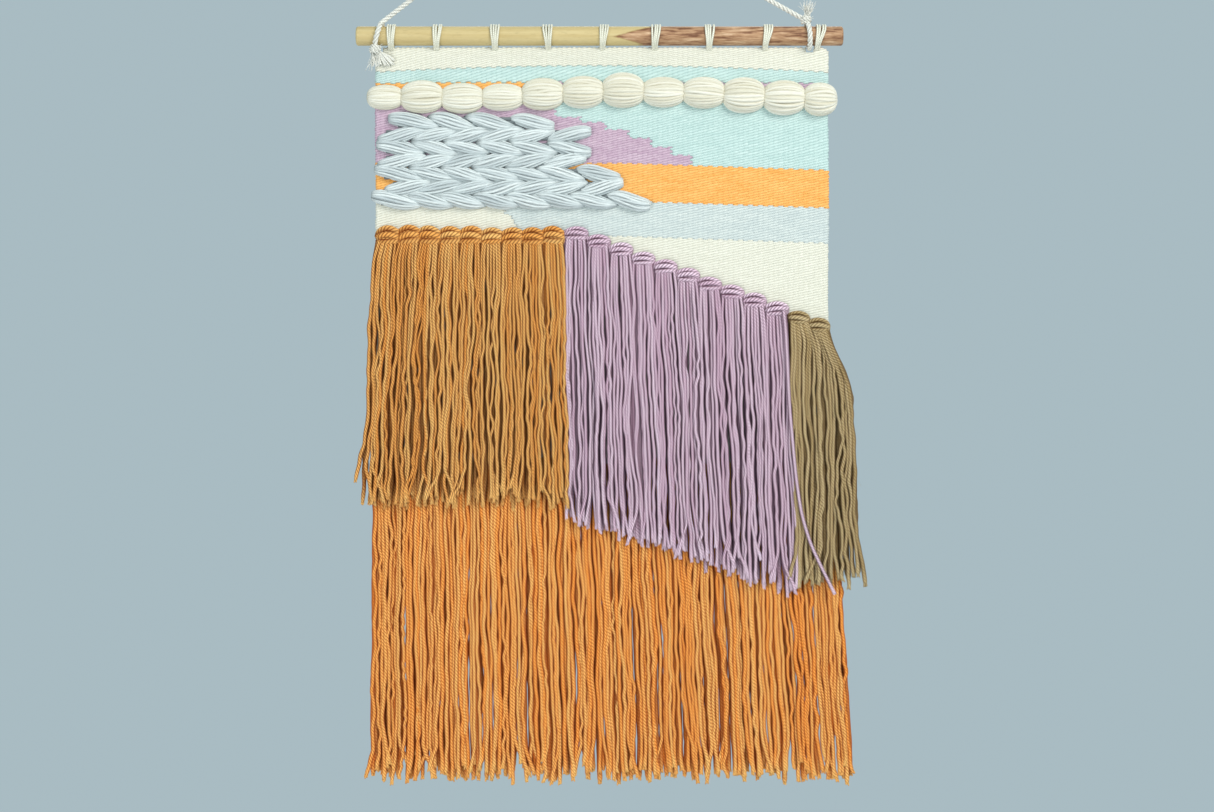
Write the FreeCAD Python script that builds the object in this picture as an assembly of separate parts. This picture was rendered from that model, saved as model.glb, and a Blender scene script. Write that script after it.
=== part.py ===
"""Tapestry wall hanging: a woven cloth with braids, bobbles and tassels, lashed to a dowel on a cord.

Millimetres. +X to the right, -Y to the front, +Z up.
The origin is the middle of the nail that the cord hangs over.
"""
import FreeCAD, Part
import math
import os

os.makedirs("parts", exist_ok=True)

Vector = FreeCAD.Vector

# Driving dimensions
CLEARANCE = 0.3            # between pieces that move past each other
NAIL_RADIUS = 2.5
CORD_DIAMETER = 4.2
DOWEL_RADIUS = 8.0
DOWEL_LENGTH = 406.0
DOWEL_MIDDLE_X = 33.0
DOWEL_AXIS_Z = -118.0
DOWEL_END_ROUND = 2.0
CLOTH_LEFT = -154.0
CLOTH_WIDTH = 378.0
CLOTH_HEIGHT = 348.0
CLOTH_THICKNESS = 3.6
CLOTH_GAP = 1.5            # between the dowel and the cloth's top edge
WARP_RADIUS = 0.75
WARP_PITCH = 4.2
LASHING_YARN = 1.8
KNOT_DEPTH = 6.0
TASSEL_DEPTH = 6.0
TASSEL_GAP = 0.8           # between two tassels side by side
TASSEL_GATHER = 1.2        # how much narrower a tassel is at its top, at each side
TASSEL_SHOULDER = 22.0     # how far below its top a tassel has its full width
ORANGE_DEPTH = 5.6

# Worked out from them
CORD_RADIUS = CORD_DIAMETER / 2
CLOTH_RIGHT = CLOTH_LEFT + CLOTH_WIDTH
CLOTH_TOP = DOWEL_AXIS_Z - DOWEL_RADIUS - CLOTH_GAP
HEM_Z = CLOTH_TOP - CLOTH_HEIGHT
FRONT = -CLOTH_THICKNESS / 2
BACK = CLOTH_THICKNESS / 2
LOOP_RADIUS = DOWEL_RADIUS + CLEARANCE + CORD_RADIUS

# Heights where one colour of weft gives way to the next
HEADER_BOTTOM = -147.0
AQUA_STRIPE_BOTTOM = -157.5
THIN_STRIPE_BOTTOM = -165.0
FIELD_BOTTOM = -226.0
ORANGE_BAND_BOTTOM = -257.0
ICE_BAND_BOTTOM = -287.0
STRIPE_CHANGE_X = -17.0
ICE_BAND_LEFT = -45.0

# The steps between the mauve and the aqua field
STEP_COUNT = 6
FIRST_STEP_X = -3.0
FIRST_STEP_Z = -185.5
SECOND_STEP_Z = -189.5
STEP_HEIGHT = 7.0

# The hanging cord's two ends on the dowel
LEFT_LOOP_X = -150.5
RIGHT_LOOP_X = 207.5
CORD_KNOT_RADIUS = 4.6
LEFT_KNOT = Vector(-154.5, -5.5, -129.5)
RIGHT_KNOT = Vector(204.5, 0, -104.6)
CORNER_NOTCH = Vector(6.6, 0, 9.0)
RIGHT_NOTCH_HALF = 2.9
RIGHT_NOTCH_DEPTH = 3.8

# The cord's route from the right knot over the nail to the left loop
CORD_ROUTE = [
    Vector(204.5, 0, -104.6),
    Vector(0, 0, 5.5),
    Vector(-149.3, -4.4, -108.0),
]
CORD_BENDS = [NAIL_RADIUS + CORD_RADIUS]

# Middles of the nine lashings along the dowel
LASHING_X = [-140.6, -102.6, -54.2, -10.0, 35.9, 79.2, 124.3, 171.8, 215.5]
LASHING_TURNS = 4
LASHING_PITCH = 2.2
LASHING_TIE_DEPTH = 4.6

# Bobble row: a bundle of roving that puffs out between thirteen tied necks
BOBBLE_Z = -168.9
BOBBLE_RADIUS = 13.3
BOBBLE_NECK_RADIUS = 4.0
BOBBLE_SINK = 1.5          # how far the bundle's axis lies behind the cloth's front
BOBBLE_PITCH = 33.55
BOBBLE_FIRST_NECK = -131.8
BOBBLE_LEFT = -158.5
BOBBLE_RIGHT = 228.5

# Soumak braids, top row first: left end, right end
SOUMAK_ENDS = [
    (-141.8, -5.8),
    (-151.8, 25.0),
    (-151.8, 25.0),
    (-151.8, 21.0),
    (-153.5, 49.2),
    (-146.0, 51.7),
    (-156.0, 74.2),
]
SOUMAK_TOP_ROW_Z = -190.2
SOUMAK_PITCH = 10.8
SOUMAK_HEIGHT = 10.6
SOUMAK_DEPTH = 7.0
SOUMAK_ROUND = 3.5

# Tassels
OCHRE_COUNT = 9
OCHRE_LEFT = -151.8
OCHRE_PITCH = 17.2
OCHRE_KNOT_TOP = -278.1
OCHRE_KNOT_HEIGHT = 14.2
OCHRE_BOTTOM = -507.0
OCHRE_FLARE = 9.0
LILAC_COUNT = 10
LILAC_LEFT = 3.9
LILAC_PITCH = 18.55
LILAC_KNOT_TOP = -277.3
DIAGONAL_KNOT_HEIGHT = 10.6
DIAGONAL_DROP = 7.04       # from one knot of the slanting row to the next
LILAC_BOTTOM_LEFT = -517.5
LILAC_BOTTOM_SLOPE = -0.345
OLIVE_COUNT = 2
OLIVE_LEFT = 190.4
OLIVE_PITCH = 16.6
OLIVE_BOTTOM = -572.0
OLIVE_FLARE = 12.0
ORANGE_COUNT = 22
ORANGE_BOTTOM = -735.0
ORANGE_LEFT_FLARE = 3.0
ORANGE_RIGHT_FLARE = 12.0
ORANGE_KNOT_HEIGHT = 12.0
ORANGE_KNOT_DEPTH = 5.0
ORANGE_CLEARANCE = 0.4

DIAGONAL_SLOPE = -DIAGONAL_DROP / LILAC_PITCH
TASSEL_AXIS_Y = FRONT - CLEARANCE - TASSEL_DEPTH / 2
TASSEL_SWING = TASSEL_DEPTH / 2 + 2 * CLEARANCE


def slab(outline, front, back):
    """A flat piece with the outline given in X and Z, from the depth front to the depth back."""
    corners = [Vector(x, front, z) for x, z in outline]
    face = Part.Face(Part.makePolygon(corners + corners[:1]))
    return face.extrude(Vector(0, back - front, 0))


def upright_edges(shape):
    """The edges that run along the depth of a slab."""
    return [e for e in shape.Edges if abs(e.tangentAt(e.FirstParameter).y) > 0.99]


def edges_at_depth(shape, depth):
    """The edges that lie wholly at one depth."""
    return [e for e in shape.Edges
            if abs(e.BoundBox.YMin - depth) < 0.01 and abs(e.BoundBox.YMax - depth) < 0.01]


def rounded_bar(left, right, bottom, top, front, back, radius):
    """A bar with its front edges rounded and its back flat."""
    bar = slab([(left, bottom), (right, bottom), (right, top), (left, top)], front, back)
    return bar.makeFillet(radius, edges_at_depth(bar, front))


def tube(points, bends, radius):
    """A tube on straight runs joined by arcs, with the radii given for the inner points."""
    edges = []
    start = points[0]
    length = 0.0
    for i, bend in enumerate(bends, 1):
        back_way = (points[i - 1] - points[i]).normalize()
        on_way = (points[i + 1] - points[i]).normalize()
        half_turn = (math.pi - back_way.getAngle(on_way)) / 2
        reach = bend * math.tan(half_turn)
        arc_start = points[i] + back_way * reach
        arc_end = points[i] + on_way * reach
        inwards = (back_way + on_way).normalize()
        arc_middle = points[i] + inwards * (bend / math.cos(half_turn) - bend)
        edges.append(Part.LineSegment(start, arc_start).toShape())
        edges.append(Part.Arc(arc_start, arc_middle, arc_end).toShape())
        length += start.distanceToPoint(arc_start) + bend * 2 * half_turn
        print("cord bend radius", round(bend, 2), "mm, turn", round(math.degrees(2 * half_turn), 1))
        start = arc_end
    edges.append(Part.LineSegment(start, points[-1]).toShape())
    length += start.distanceToPoint(points[-1])
    path = Part.Wire(edges)
    section = Part.Wire(Part.makeCircle(radius, points[0], points[1] - points[0]))
    swept = path.makePipeShell([section], True, False)
    print("cord length", round(length, 1), "mm, volume over section times length",
          round(swept.Volume / (math.pi * radius ** 2 * length), 4))
    return swept


def dowel():
    """The wooden dowel with its two rounded ends."""
    left_end = Vector(DOWEL_MIDDLE_X - DOWEL_LENGTH / 2, 0, DOWEL_AXIS_Z)
    rod = Part.makeCylinder(DOWEL_RADIUS, DOWEL_LENGTH, left_end, Vector(1, 0, 0))
    rims = [e for e in rod.Edges if isinstance(e.Curve, Part.Circle)]
    return rod.makeFillet(DOWEL_END_ROUND, rims)


def cord_loop(x):
    """A turn of the hanging cord round the dowel, loose enough for the dowel to turn in it."""
    return Part.makeTorus(LOOP_RADIUS, CORD_RADIUS, Vector(x, 0, DOWEL_AXIS_Z), Vector(1, 0, 0))


def cord_knot(centre, tail_base, tail_tip, base_radius, tip_radius):
    """A knot in the hanging cord with the short tail that frays out of it."""
    knot = Part.makeSphere(CORD_KNOT_RADIUS, centre)
    way = tail_tip - tail_base
    tail = Part.makeCone(base_radius, tip_radius, way.Length, tail_base, way)
    return knot.fuse(tail).removeSplitter()


def lashing_turn(x):
    """One turn of a lashing: round the dowel and down both sides to the tie in the cloth."""
    radius = DOWEL_RADIUS + CLEARANCE + LASHING_YARN / 2
    foot_y = LASHING_YARN / 2 + 0.15
    foot_z = CLOTH_TOP - LASHING_TIE_DEPTH - DOWEL_AXIS_Z
    reach = math.hypot(foot_y, foot_z)
    angle = math.atan2(foot_z, foot_y) + math.acos(radius / reach)
    centre = Vector(x, 0, DOWEL_AXIS_Z)
    foot_back = centre + Vector(0, foot_y, foot_z)
    foot_front = centre + Vector(0, -foot_y, foot_z)
    touch = Vector(0, radius * math.cos(angle), radius * math.sin(angle))
    touch_back = centre + touch
    touch_front = centre + Vector(0, -touch.y, touch.z)
    over = centre + Vector(0, 0, radius)
    path = Part.Wire([
        Part.LineSegment(foot_back, touch_back).toShape(),
        Part.Arc(touch_back, over, touch_front).toShape(),
        Part.LineSegment(touch_front, foot_front).toShape(),
    ])
    start = Part.Wire(Part.makeCircle(LASHING_YARN / 2, foot_back, touch_back - foot_back))
    return path.makePipeShell([start], True, False)


def lashing(x):
    """A lashing: turns of yarn side by side, and the tie that draws them together."""
    first = x - LASHING_PITCH * (LASHING_TURNS - 1) / 2
    turns = [lashing_turn(first + i * LASHING_PITCH) for i in range(LASHING_TURNS)]
    tie_length = LASHING_PITCH * LASHING_TURNS
    tie_left = Vector(x - tie_length / 2, 0, CLOTH_TOP - LASHING_TIE_DEPTH)
    tie = Part.makeCylinder(LASHING_YARN * 1.25, tie_length, tie_left, Vector(1, 0, 0))
    return tie.fuse(turns).removeSplitter()


def step_x(k):
    """The edge of the mauve field after k steps, each a little narrower than the last."""
    return FIRST_STEP_X + 21.5 * k - 0.45 * k ** 2


def step_z(k):
    """The height at which step k ends."""
    return FIRST_STEP_Z if k == 0 else SECOND_STEP_Z - STEP_HEIGHT * (k - 1)


def stairs():
    """The stepped line between the mauve and the aqua field, from the top down."""
    line = [(step_x(0), THIN_STRIPE_BOTTOM)]
    for k in range(STEP_COUNT):
        line += [(step_x(k), step_z(k)), (step_x(k + 1), step_z(k))]
    return line + [(step_x(STEP_COUNT), FIELD_BOTTOM)]


def band(left, right, top, bottom):
    """The four corners of a plain band of weft."""
    return [(left, top), (right, top), (right, bottom), (left, bottom)]


def header_outline():
    """The cream header: a corner cut back for the cord's left knot, and a slot for its right loop."""
    slot_bottom = CLOTH_TOP - RIGHT_NOTCH_DEPTH
    slot_left = RIGHT_LOOP_X - RIGHT_NOTCH_HALF
    slot_right = RIGHT_LOOP_X + RIGHT_NOTCH_HALF
    return [
        (CLOTH_LEFT + CORNER_NOTCH.x, CLOTH_TOP),
        (slot_left, CLOTH_TOP),
        (slot_left, slot_bottom),
        (slot_right, slot_bottom),
        (slot_right, CLOTH_TOP),
        (CLOTH_RIGHT - 4.0, CLOTH_TOP),
        (CLOTH_RIGHT, CLOTH_TOP - 4.0),
        (CLOTH_RIGHT, HEADER_BOTTOM),
        (CLOTH_LEFT, HEADER_BOTTOM),
        (CLOTH_LEFT, CLOTH_TOP - CORNER_NOTCH.z - CORNER_NOTCH.x),
        (CLOTH_LEFT + CORNER_NOTCH.x, CLOTH_TOP - CORNER_NOTCH.z),
    ]


def weft_outlines():
    """Every area of weft colour, edge to edge over the whole cloth."""
    left, right = CLOTH_LEFT, CLOTH_RIGHT
    mauve = [
        (STRIPE_CHANGE_X, AQUA_STRIPE_BOTTOM),
        (right, AQUA_STRIPE_BOTTOM),
        (right, THIN_STRIPE_BOTTOM),
    ] + stairs() + [
        (left, FIELD_BOTTOM),
        (left, THIN_STRIPE_BOTTOM),
        (STRIPE_CHANGE_X, THIN_STRIPE_BOTTOM),
    ]
    aqua = stairs() + [(right, FIELD_BOTTOM), (right, THIN_STRIPE_BOTTOM)]
    cream = [
        (left, ORANGE_BAND_BOTTOM),
        (ICE_BAND_LEFT, ORANGE_BAND_BOTTOM),
        (ICE_BAND_LEFT, ICE_BAND_BOTTOM),
        (right, ICE_BAND_BOTTOM),
        (right, HEM_Z),
        (left, HEM_Z),
    ]
    return {
        "header_weft": header_outline(),
        "aqua_stripe_weft": band(left, right, HEADER_BOTTOM, AQUA_STRIPE_BOTTOM),
        "orange_stripe_weft": band(left, STRIPE_CHANGE_X, AQUA_STRIPE_BOTTOM, THIN_STRIPE_BOTTOM),
        "mauve_field_weft": mauve,
        "aqua_field_weft": aqua,
        "orange_band_weft": band(left, right, FIELD_BOTTOM, ORANGE_BAND_BOTTOM),
        "ice_band_weft": band(ICE_BAND_LEFT, right, ORANGE_BAND_BOTTOM, ICE_BAND_BOTTOM),
        "cream_field_weft": cream,
    }


def warp_threads():
    """The upright cotton threads inside the cloth, each stopping short of the notches and the hem."""
    threads = []
    count = int(CLOTH_WIDTH / WARP_PITCH)
    for i in range(count):
        x = CLOTH_LEFT + WARP_PITCH * (i + 0.5)
        top = CLOTH_TOP - 1.0
        if x < CLOTH_LEFT + CORNER_NOTCH.x or x > CLOTH_RIGHT - 4.0:
            top = CLOTH_TOP - CORNER_NOTCH.z - 2 * CORNER_NOTCH.x
        elif abs(x - RIGHT_LOOP_X) < RIGHT_NOTCH_HALF + WARP_RADIUS:
            top = CLOTH_TOP - RIGHT_NOTCH_DEPTH - 1.0
        foot = Vector(x, 0, HEM_Z + 1.0)
        threads.append(Part.makeCylinder(WARP_RADIUS, top - foot.z, foot))
    return Part.Compound(threads)


def bobble_row():
    """One bundle of roving that puffs out in front of the cloth between its tied necks."""
    necks = [BOBBLE_LEFT]
    necks += [BOBBLE_FIRST_NECK + BOBBLE_PITCH * i for i in range(11)]
    necks.append(BOBBLE_RIGHT)
    axis_y = FRONT + BOBBLE_SINK

    def rim(x, radius):
        return Vector(x, axis_y, BOBBLE_Z + radius)

    edges = [Part.LineSegment(rim(necks[-1], 0), rim(necks[0], 0)).toShape(),
             Part.LineSegment(rim(necks[0], 0), rim(necks[0], BOBBLE_NECK_RADIUS)).toShape()]
    for left, right in zip(necks, necks[1:]):
        edges.append(Part.Arc(rim(left, BOBBLE_NECK_RADIUS), rim((left + right) / 2, BOBBLE_RADIUS),
                              rim(right, BOBBLE_NECK_RADIUS)).toShape())
    edges.append(Part.LineSegment(rim(necks[-1], BOBBLE_NECK_RADIUS), rim(necks[-1], 0)).toShape())
    profile = Part.Face(Part.Wire(edges))
    puffs = profile.revolve(rim(0, 0), Vector(1, 0, 0), 360)
    in_front = Part.makeBox(CLOTH_WIDTH + 40, 30, 40,
                            Vector(CLOTH_LEFT - 20, FRONT - 30, BOBBLE_Z - 20))
    return puffs.common(in_front).removeSplitter()


def soumak_row(row):
    """One row of soumak braid on the front of the cloth."""
    left, right = SOUMAK_ENDS[row]
    middle = SOUMAK_TOP_ROW_Z - SOUMAK_PITCH * row
    return rounded_bar(left, right, middle - SOUMAK_HEIGHT / 2, middle + SOUMAK_HEIGHT / 2,
                       FRONT - SOUMAK_DEPTH, FRONT, SOUMAK_ROUND)


def knot_bars(left, pitch, count, top, drop, height):
    """The knots that tie a row of tassels to the front of the cloth."""
    bars = []
    for i in range(count):
        x = left + pitch * i
        z = top - drop * i
        bars.append(rounded_bar(x + TASSEL_GAP / 2, x + pitch - TASSEL_GAP / 2, z - height, z,
                                FRONT - KNOT_DEPTH, FRONT, 2.5))
    return bars


def hanging_tassel(left, right, axis_left, axis_right, bottom, left_flare, right_flare):
    """A bundle of yarn, gathered and rounded over the line that it lifts about, that hangs down."""
    radius = TASSEL_DEPTH / 2
    top_left = left + TASSEL_GATHER
    top_right = right - TASSEL_GATHER
    outline = [
        (top_left, axis_left),
        (top_right, axis_right),
        (right, axis_right - TASSEL_SHOULDER),
        (right + right_flare, bottom),
        (left - left_flare, bottom),
        (left, axis_left - TASSEL_SHOULDER),
    ]
    strands = slab(outline, TASSEL_AXIS_Y - radius, TASSEL_AXIS_Y + radius)
    start = Vector(top_left, TASSEL_AXIS_Y, axis_left)
    end = Vector(top_right, TASSEL_AXIS_Y, axis_right)
    way = (end - start).normalize()
    length = start.distanceToPoint(end) + 2 * radius
    rod = Part.makeCylinder(radius, length, start - way * radius, way)
    between = Part.makeBox(top_right - top_left, 2 * TASSEL_DEPTH, 4 * TASSEL_DEPTH,
                           Vector(top_left, TASSEL_AXIS_Y - TASSEL_DEPTH, axis_left - 2 * TASSEL_DEPTH))
    return strands.fuse(rod.common(between)).removeSplitter()


def ochre_axis_z():
    """The height of the line that the ochre fringe lifts about."""
    return OCHRE_KNOT_TOP - OCHRE_KNOT_HEIGHT - TASSEL_SWING


def ochre_tassel(i):
    """Ochre tassels hang level, and the ones to the left spread outwards."""
    left = OCHRE_LEFT + OCHRE_PITCH * i + TASSEL_GAP / 2
    right = OCHRE_LEFT + OCHRE_PITCH * (i + 1) - TASSEL_GAP / 2
    axis = ochre_axis_z()
    flare = OCHRE_FLARE * (1 - i / OCHRE_COUNT) ** 2
    next_flare = OCHRE_FLARE * (1 - (i + 1) / OCHRE_COUNT) ** 2
    return hanging_tassel(left, right, axis, axis, OCHRE_BOTTOM, flare, -next_flare)


def diagonal_axis_z(x):
    """The height of the slanting line that the lilac and olive fringes lift about."""
    first_foot = LILAC_KNOT_TOP - DIAGONAL_KNOT_HEIGHT
    away = TASSEL_SWING * math.hypot(1, DIAGONAL_SLOPE)
    return first_foot - away + DIAGONAL_SLOPE * (x - LILAC_LEFT)


def diagonal_tassel(left, right, bottom, right_flare):
    """A tassel below the slanting line."""
    axis_left = diagonal_axis_z(left + TASSEL_GATHER)
    axis_right = diagonal_axis_z(right - TASSEL_GATHER)
    return hanging_tassel(left, right, axis_left, axis_right, bottom, 0, right_flare)


def lilac_tassel(i):
    """Lilac tassels get lower towards the right, and so do their ends."""
    left = LILAC_LEFT + LILAC_PITCH * i + TASSEL_GAP / 2
    right = left + LILAC_PITCH - TASSEL_GAP
    bottom = LILAC_BOTTOM_LEFT + LILAC_BOTTOM_SLOPE * ((left + right) / 2 - LILAC_LEFT)
    return diagonal_tassel(left, right, bottom, 0)


def olive_tassel(i):
    """The two olive tassels at the right edge; the outer one spreads."""
    left = OLIVE_LEFT + OLIVE_PITCH * i + TASSEL_GAP / 2
    right = left + OLIVE_PITCH - TASSEL_GAP
    return diagonal_tassel(left, right, OLIVE_BOTTOM, OLIVE_FLARE * i)


def olive_knots():
    """The two olive knots carry on the lilac row's slant."""
    drop = DIAGONAL_DROP * OLIVE_PITCH / LILAC_PITCH
    top = LILAC_KNOT_TOP - DIAGONAL_DROP * LILAC_COUNT
    return knot_bars(OLIVE_LEFT, OLIVE_PITCH, OLIVE_COUNT, top, drop, DIAGONAL_KNOT_HEIGHT)


def orange_axis():
    """Depth and height of the line under the hem that the orange fringe swings about."""
    radius = ORANGE_DEPTH / 2
    return FRONT + radius, HEM_Z - ORANGE_CLEARANCE - radius


def orange_tassels():
    """The bottom fringe, each tassel rounded over the line that it swings about."""
    axis_y, axis_z = orange_axis()
    radius = ORANGE_DEPTH / 2
    pitch = CLOTH_WIDTH / ORANGE_COUNT
    spread = (CLOTH_WIDTH + ORANGE_LEFT_FLARE + ORANGE_RIGHT_FLARE) / CLOTH_WIDTH
    tassels = []
    for i in range(ORANGE_COUNT):
        left = CLOTH_LEFT + pitch * i + TASSEL_GAP / 2
        right = left + pitch - TASSEL_GAP
        low_left = CLOTH_LEFT - ORANGE_LEFT_FLARE + (left - CLOTH_LEFT) * spread
        low_right = CLOTH_LEFT - ORANGE_LEFT_FLARE + (right - CLOTH_LEFT) * spread
        strands = slab([(left, axis_z), (right, axis_z), (low_right, ORANGE_BOTTOM),
                        (low_left, ORANGE_BOTTOM)], axis_y - radius, axis_y + radius)
        top = Part.makeCylinder(radius, right - left, Vector(left, axis_y, axis_z), Vector(1, 0, 0))
        tassels.append(strands.fuse(top).removeSplitter())
    return tassels


def orange_knots():
    """The bottom fringe's knots, on the back of the hem."""
    pitch = CLOTH_WIDTH / ORANGE_COUNT
    bars = []
    for i in range(ORANGE_COUNT):
        left = CLOTH_LEFT + pitch * i + TASSEL_GAP / 2
        bar = slab(band(left, left + pitch - TASSEL_GAP, HEM_Z + ORANGE_KNOT_HEIGHT, HEM_Z),
                   BACK, BACK + ORANGE_KNOT_DEPTH)
        bars.append(bar.makeFillet(2.0, edges_at_depth(bar, BACK + ORANGE_KNOT_DEPTH)))
    return bars


def build():
    """Every node of the hanging by name."""
    nodes = {
        "hanging_cord": tube(CORD_ROUTE, CORD_BENDS, CORD_RADIUS),
        "left_cord_loop": cord_loop(LEFT_LOOP_X),
        "right_cord_loop": cord_loop(RIGHT_LOOP_X),
        "left_cord_knot": cord_knot(LEFT_KNOT, LEFT_KNOT + Vector(-1.5, 0, -3),
                                    LEFT_KNOT + Vector(-4.0, 0, -12.5), 2.4, 3.2),
        "right_cord_knot": cord_knot(RIGHT_KNOT, RIGHT_KNOT + Vector(1, 0, 3),
                                     RIGHT_KNOT + Vector(2, 0, 12.5), 2.2, 3.6),
        "dowel": dowel(),
        "warp_threads": warp_threads(),
        "bobble_row": bobble_row(),
        "ochre_knots": Part.Compound(knot_bars(OCHRE_LEFT, OCHRE_PITCH, OCHRE_COUNT,
                                               OCHRE_KNOT_TOP, 0, OCHRE_KNOT_HEIGHT)),
        "lilac_knots": Part.Compound(knot_bars(LILAC_LEFT, LILAC_PITCH, LILAC_COUNT,
                                               LILAC_KNOT_TOP, DIAGONAL_DROP, DIAGONAL_KNOT_HEIGHT)),
        "olive_knots": Part.Compound(olive_knots()),
        "orange_knots": Part.Compound(orange_knots()),
        "orange_tassels": Part.Compound(orange_tassels()),
    }
    for name, outline in weft_outlines().items():
        nodes[name] = slab(outline, FRONT, BACK)
    for i, x in enumerate(LASHING_X, 1):
        nodes[f"lashing_{i}"] = lashing(x)
    for row in range(len(SOUMAK_ENDS)):
        nodes[f"soumak_row_{row + 1}"] = soumak_row(row)
    for i in range(OCHRE_COUNT):
        nodes[f"ochre_tassel_{i + 1}"] = ochre_tassel(i)
    for i in range(LILAC_COUNT):
        nodes[f"lilac_tassel_{i + 1}"] = lilac_tassel(i)
    for i in range(OLIVE_COUNT):
        nodes[f"olive_tassel_{i + 1}"] = olive_tassel(i)
    return nodes


for node, shape in build().items():
    if not shape.isValid():
        raise ValueError(node + " is not a valid shape")
    shape.exportStep(f"parts/{node}.step")

print("ochre fringe axis: y", round(TASSEL_AXIS_Y, 3), "z", round(ochre_axis_z(), 3))
print("slanting fringe axis: y", round(TASSEL_AXIS_Y, 3), "z at lilac left",
      round(diagonal_axis_z(LILAC_LEFT), 3), "slope", round(DIAGONAL_SLOPE, 4))
print("orange fringe axis: y, z", [round(v, 3) for v in orange_axis()])
print("cloth top", CLOTH_TOP, "hem", HEM_Z)
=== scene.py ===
"""Looks of the tapestry wall hanging: woven cloth, bobbles, braids, tassels, lashings, dowel and cord.

Metres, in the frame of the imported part: +X right, -Y front, +Z up, origin at the nail.
"""

import math

import bpy
import numpy as np
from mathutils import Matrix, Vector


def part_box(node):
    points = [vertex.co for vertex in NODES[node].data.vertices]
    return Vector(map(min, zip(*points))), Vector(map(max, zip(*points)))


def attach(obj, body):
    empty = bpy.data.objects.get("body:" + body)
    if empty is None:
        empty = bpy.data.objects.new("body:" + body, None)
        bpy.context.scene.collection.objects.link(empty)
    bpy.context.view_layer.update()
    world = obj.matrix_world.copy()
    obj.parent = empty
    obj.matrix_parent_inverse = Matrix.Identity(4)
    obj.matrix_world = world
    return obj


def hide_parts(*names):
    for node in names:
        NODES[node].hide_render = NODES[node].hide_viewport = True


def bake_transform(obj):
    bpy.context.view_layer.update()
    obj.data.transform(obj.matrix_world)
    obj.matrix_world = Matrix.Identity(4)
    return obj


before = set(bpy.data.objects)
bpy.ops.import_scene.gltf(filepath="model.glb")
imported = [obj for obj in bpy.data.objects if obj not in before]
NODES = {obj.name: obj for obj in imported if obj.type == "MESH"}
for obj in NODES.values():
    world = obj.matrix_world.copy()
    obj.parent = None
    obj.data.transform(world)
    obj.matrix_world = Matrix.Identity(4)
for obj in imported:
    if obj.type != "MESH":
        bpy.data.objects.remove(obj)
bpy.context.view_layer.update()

MM = 0.001


def span(node, axis):
    """The lowest and highest place of a CAD node along one axis: 0 is X, 1 is Y and 2 is Z."""
    low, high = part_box(node)
    return low[axis], high[axis]


def fade(value, start, end):
    """0 before start, 1 after end and a smooth rise between them."""
    t = np.clip((value - start) / (end - start), 0, 1)
    return t * t * (3 - 2 * t)


# ------------------------------------------------------------------ sizes taken from the frame
CLOTH_LEFT, CLOTH_RIGHT = span("header_weft", 0)
CLOTH_TOP = span("header_weft", 2)[1]
HEM_Z = span("cream_field_weft", 2)[0]
HEADER_BOTTOM = span("header_weft", 2)[0]      # each colour of weft gives way to the next here
AQUA_STRIPE_BOTTOM = span("aqua_stripe_weft", 2)[0]
THIN_STRIPE_BOTTOM = span("orange_stripe_weft", 2)[0]
FIELD_BOTTOM = span("aqua_field_weft", 2)[0]
ORANGE_BAND_BOTTOM = span("orange_band_weft", 2)[0]
ICE_BAND_BOTTOM = span("ice_band_weft", 2)[0]
STRIPE_CHANGE_X = span("orange_stripe_weft", 0)[1]
ICE_BAND_LEFT = span("ice_band_weft", 0)[0]
CLOTH_FACE = span("header_weft", 1)[0]
DOWEL_RADIUS = (span("dowel", 2)[1] - span("dowel", 2)[0]) / 2
DOWEL_Z = sum(span("dowel", 2)) / 2

# ------------------------------------------------------------------ sizes of the yarns and the weave
WARP_PITCH = 4.2 * MM
ROW_HEIGHT = 1.05 * MM          # half of one weft thread, which shows on every other warp
CLOTH_HALF = 1.35 * MM          # from the middle of the cloth to its face, without the bumps
BUMP = 0.12 * MM
TASSEL_YARN = 1.5 * MM          # radius
ORANGE_YARN = 1.74 * MM
BRAID_YARN = 1.32 * MM
BRAID_CORE_YARN = 1.5 * MM      # inside a stitch, and in the row behind the stitches
BOBBLE_YARN = 1.55 * MM
LASHING_YARN = 0.88 * MM
WARP_RADIUS = 0.72 * MM
CORD_DIAMETER = 4.2 * MM
CORD_LAY = 13 * MM              # along the cord for one turn of its strands
CORD_STRANDS = 3
CORD_SIDES = 6                  # of each of its strands
CORD_GAP = 0.3 * MM             # between the cord and the dowel
KNOT_BALL = 4.6 * MM            # radius of a knot in the cord
FIBRE_RADIUS = 0.24 * MM        # of a loose fibre of the cord
FIBRE_SIDES = 5
YARN_SIDES = 8
TWIST_SLIDE = 37 * MM           # how far apart the twists of two strands may start
FRONT_WAY = np.array([0.0, -1.0, 0.0])
UP_WAY = np.array([0.0, 0.0, 1.0])

# The steps between the mauve and the aqua field
STEP_COUNT = 6
FIRST_STEP_X = -3.0 * MM
FIRST_STEP_Z = -185.5 * MM
SECOND_STEP_Z = -189.5 * MM
STEP_HEIGHT = 7.0 * MM
STEP_WIDTH = 21.5               # mm
STEP_LOSS = 0.45                # mm, times the square of the step's number


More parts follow.
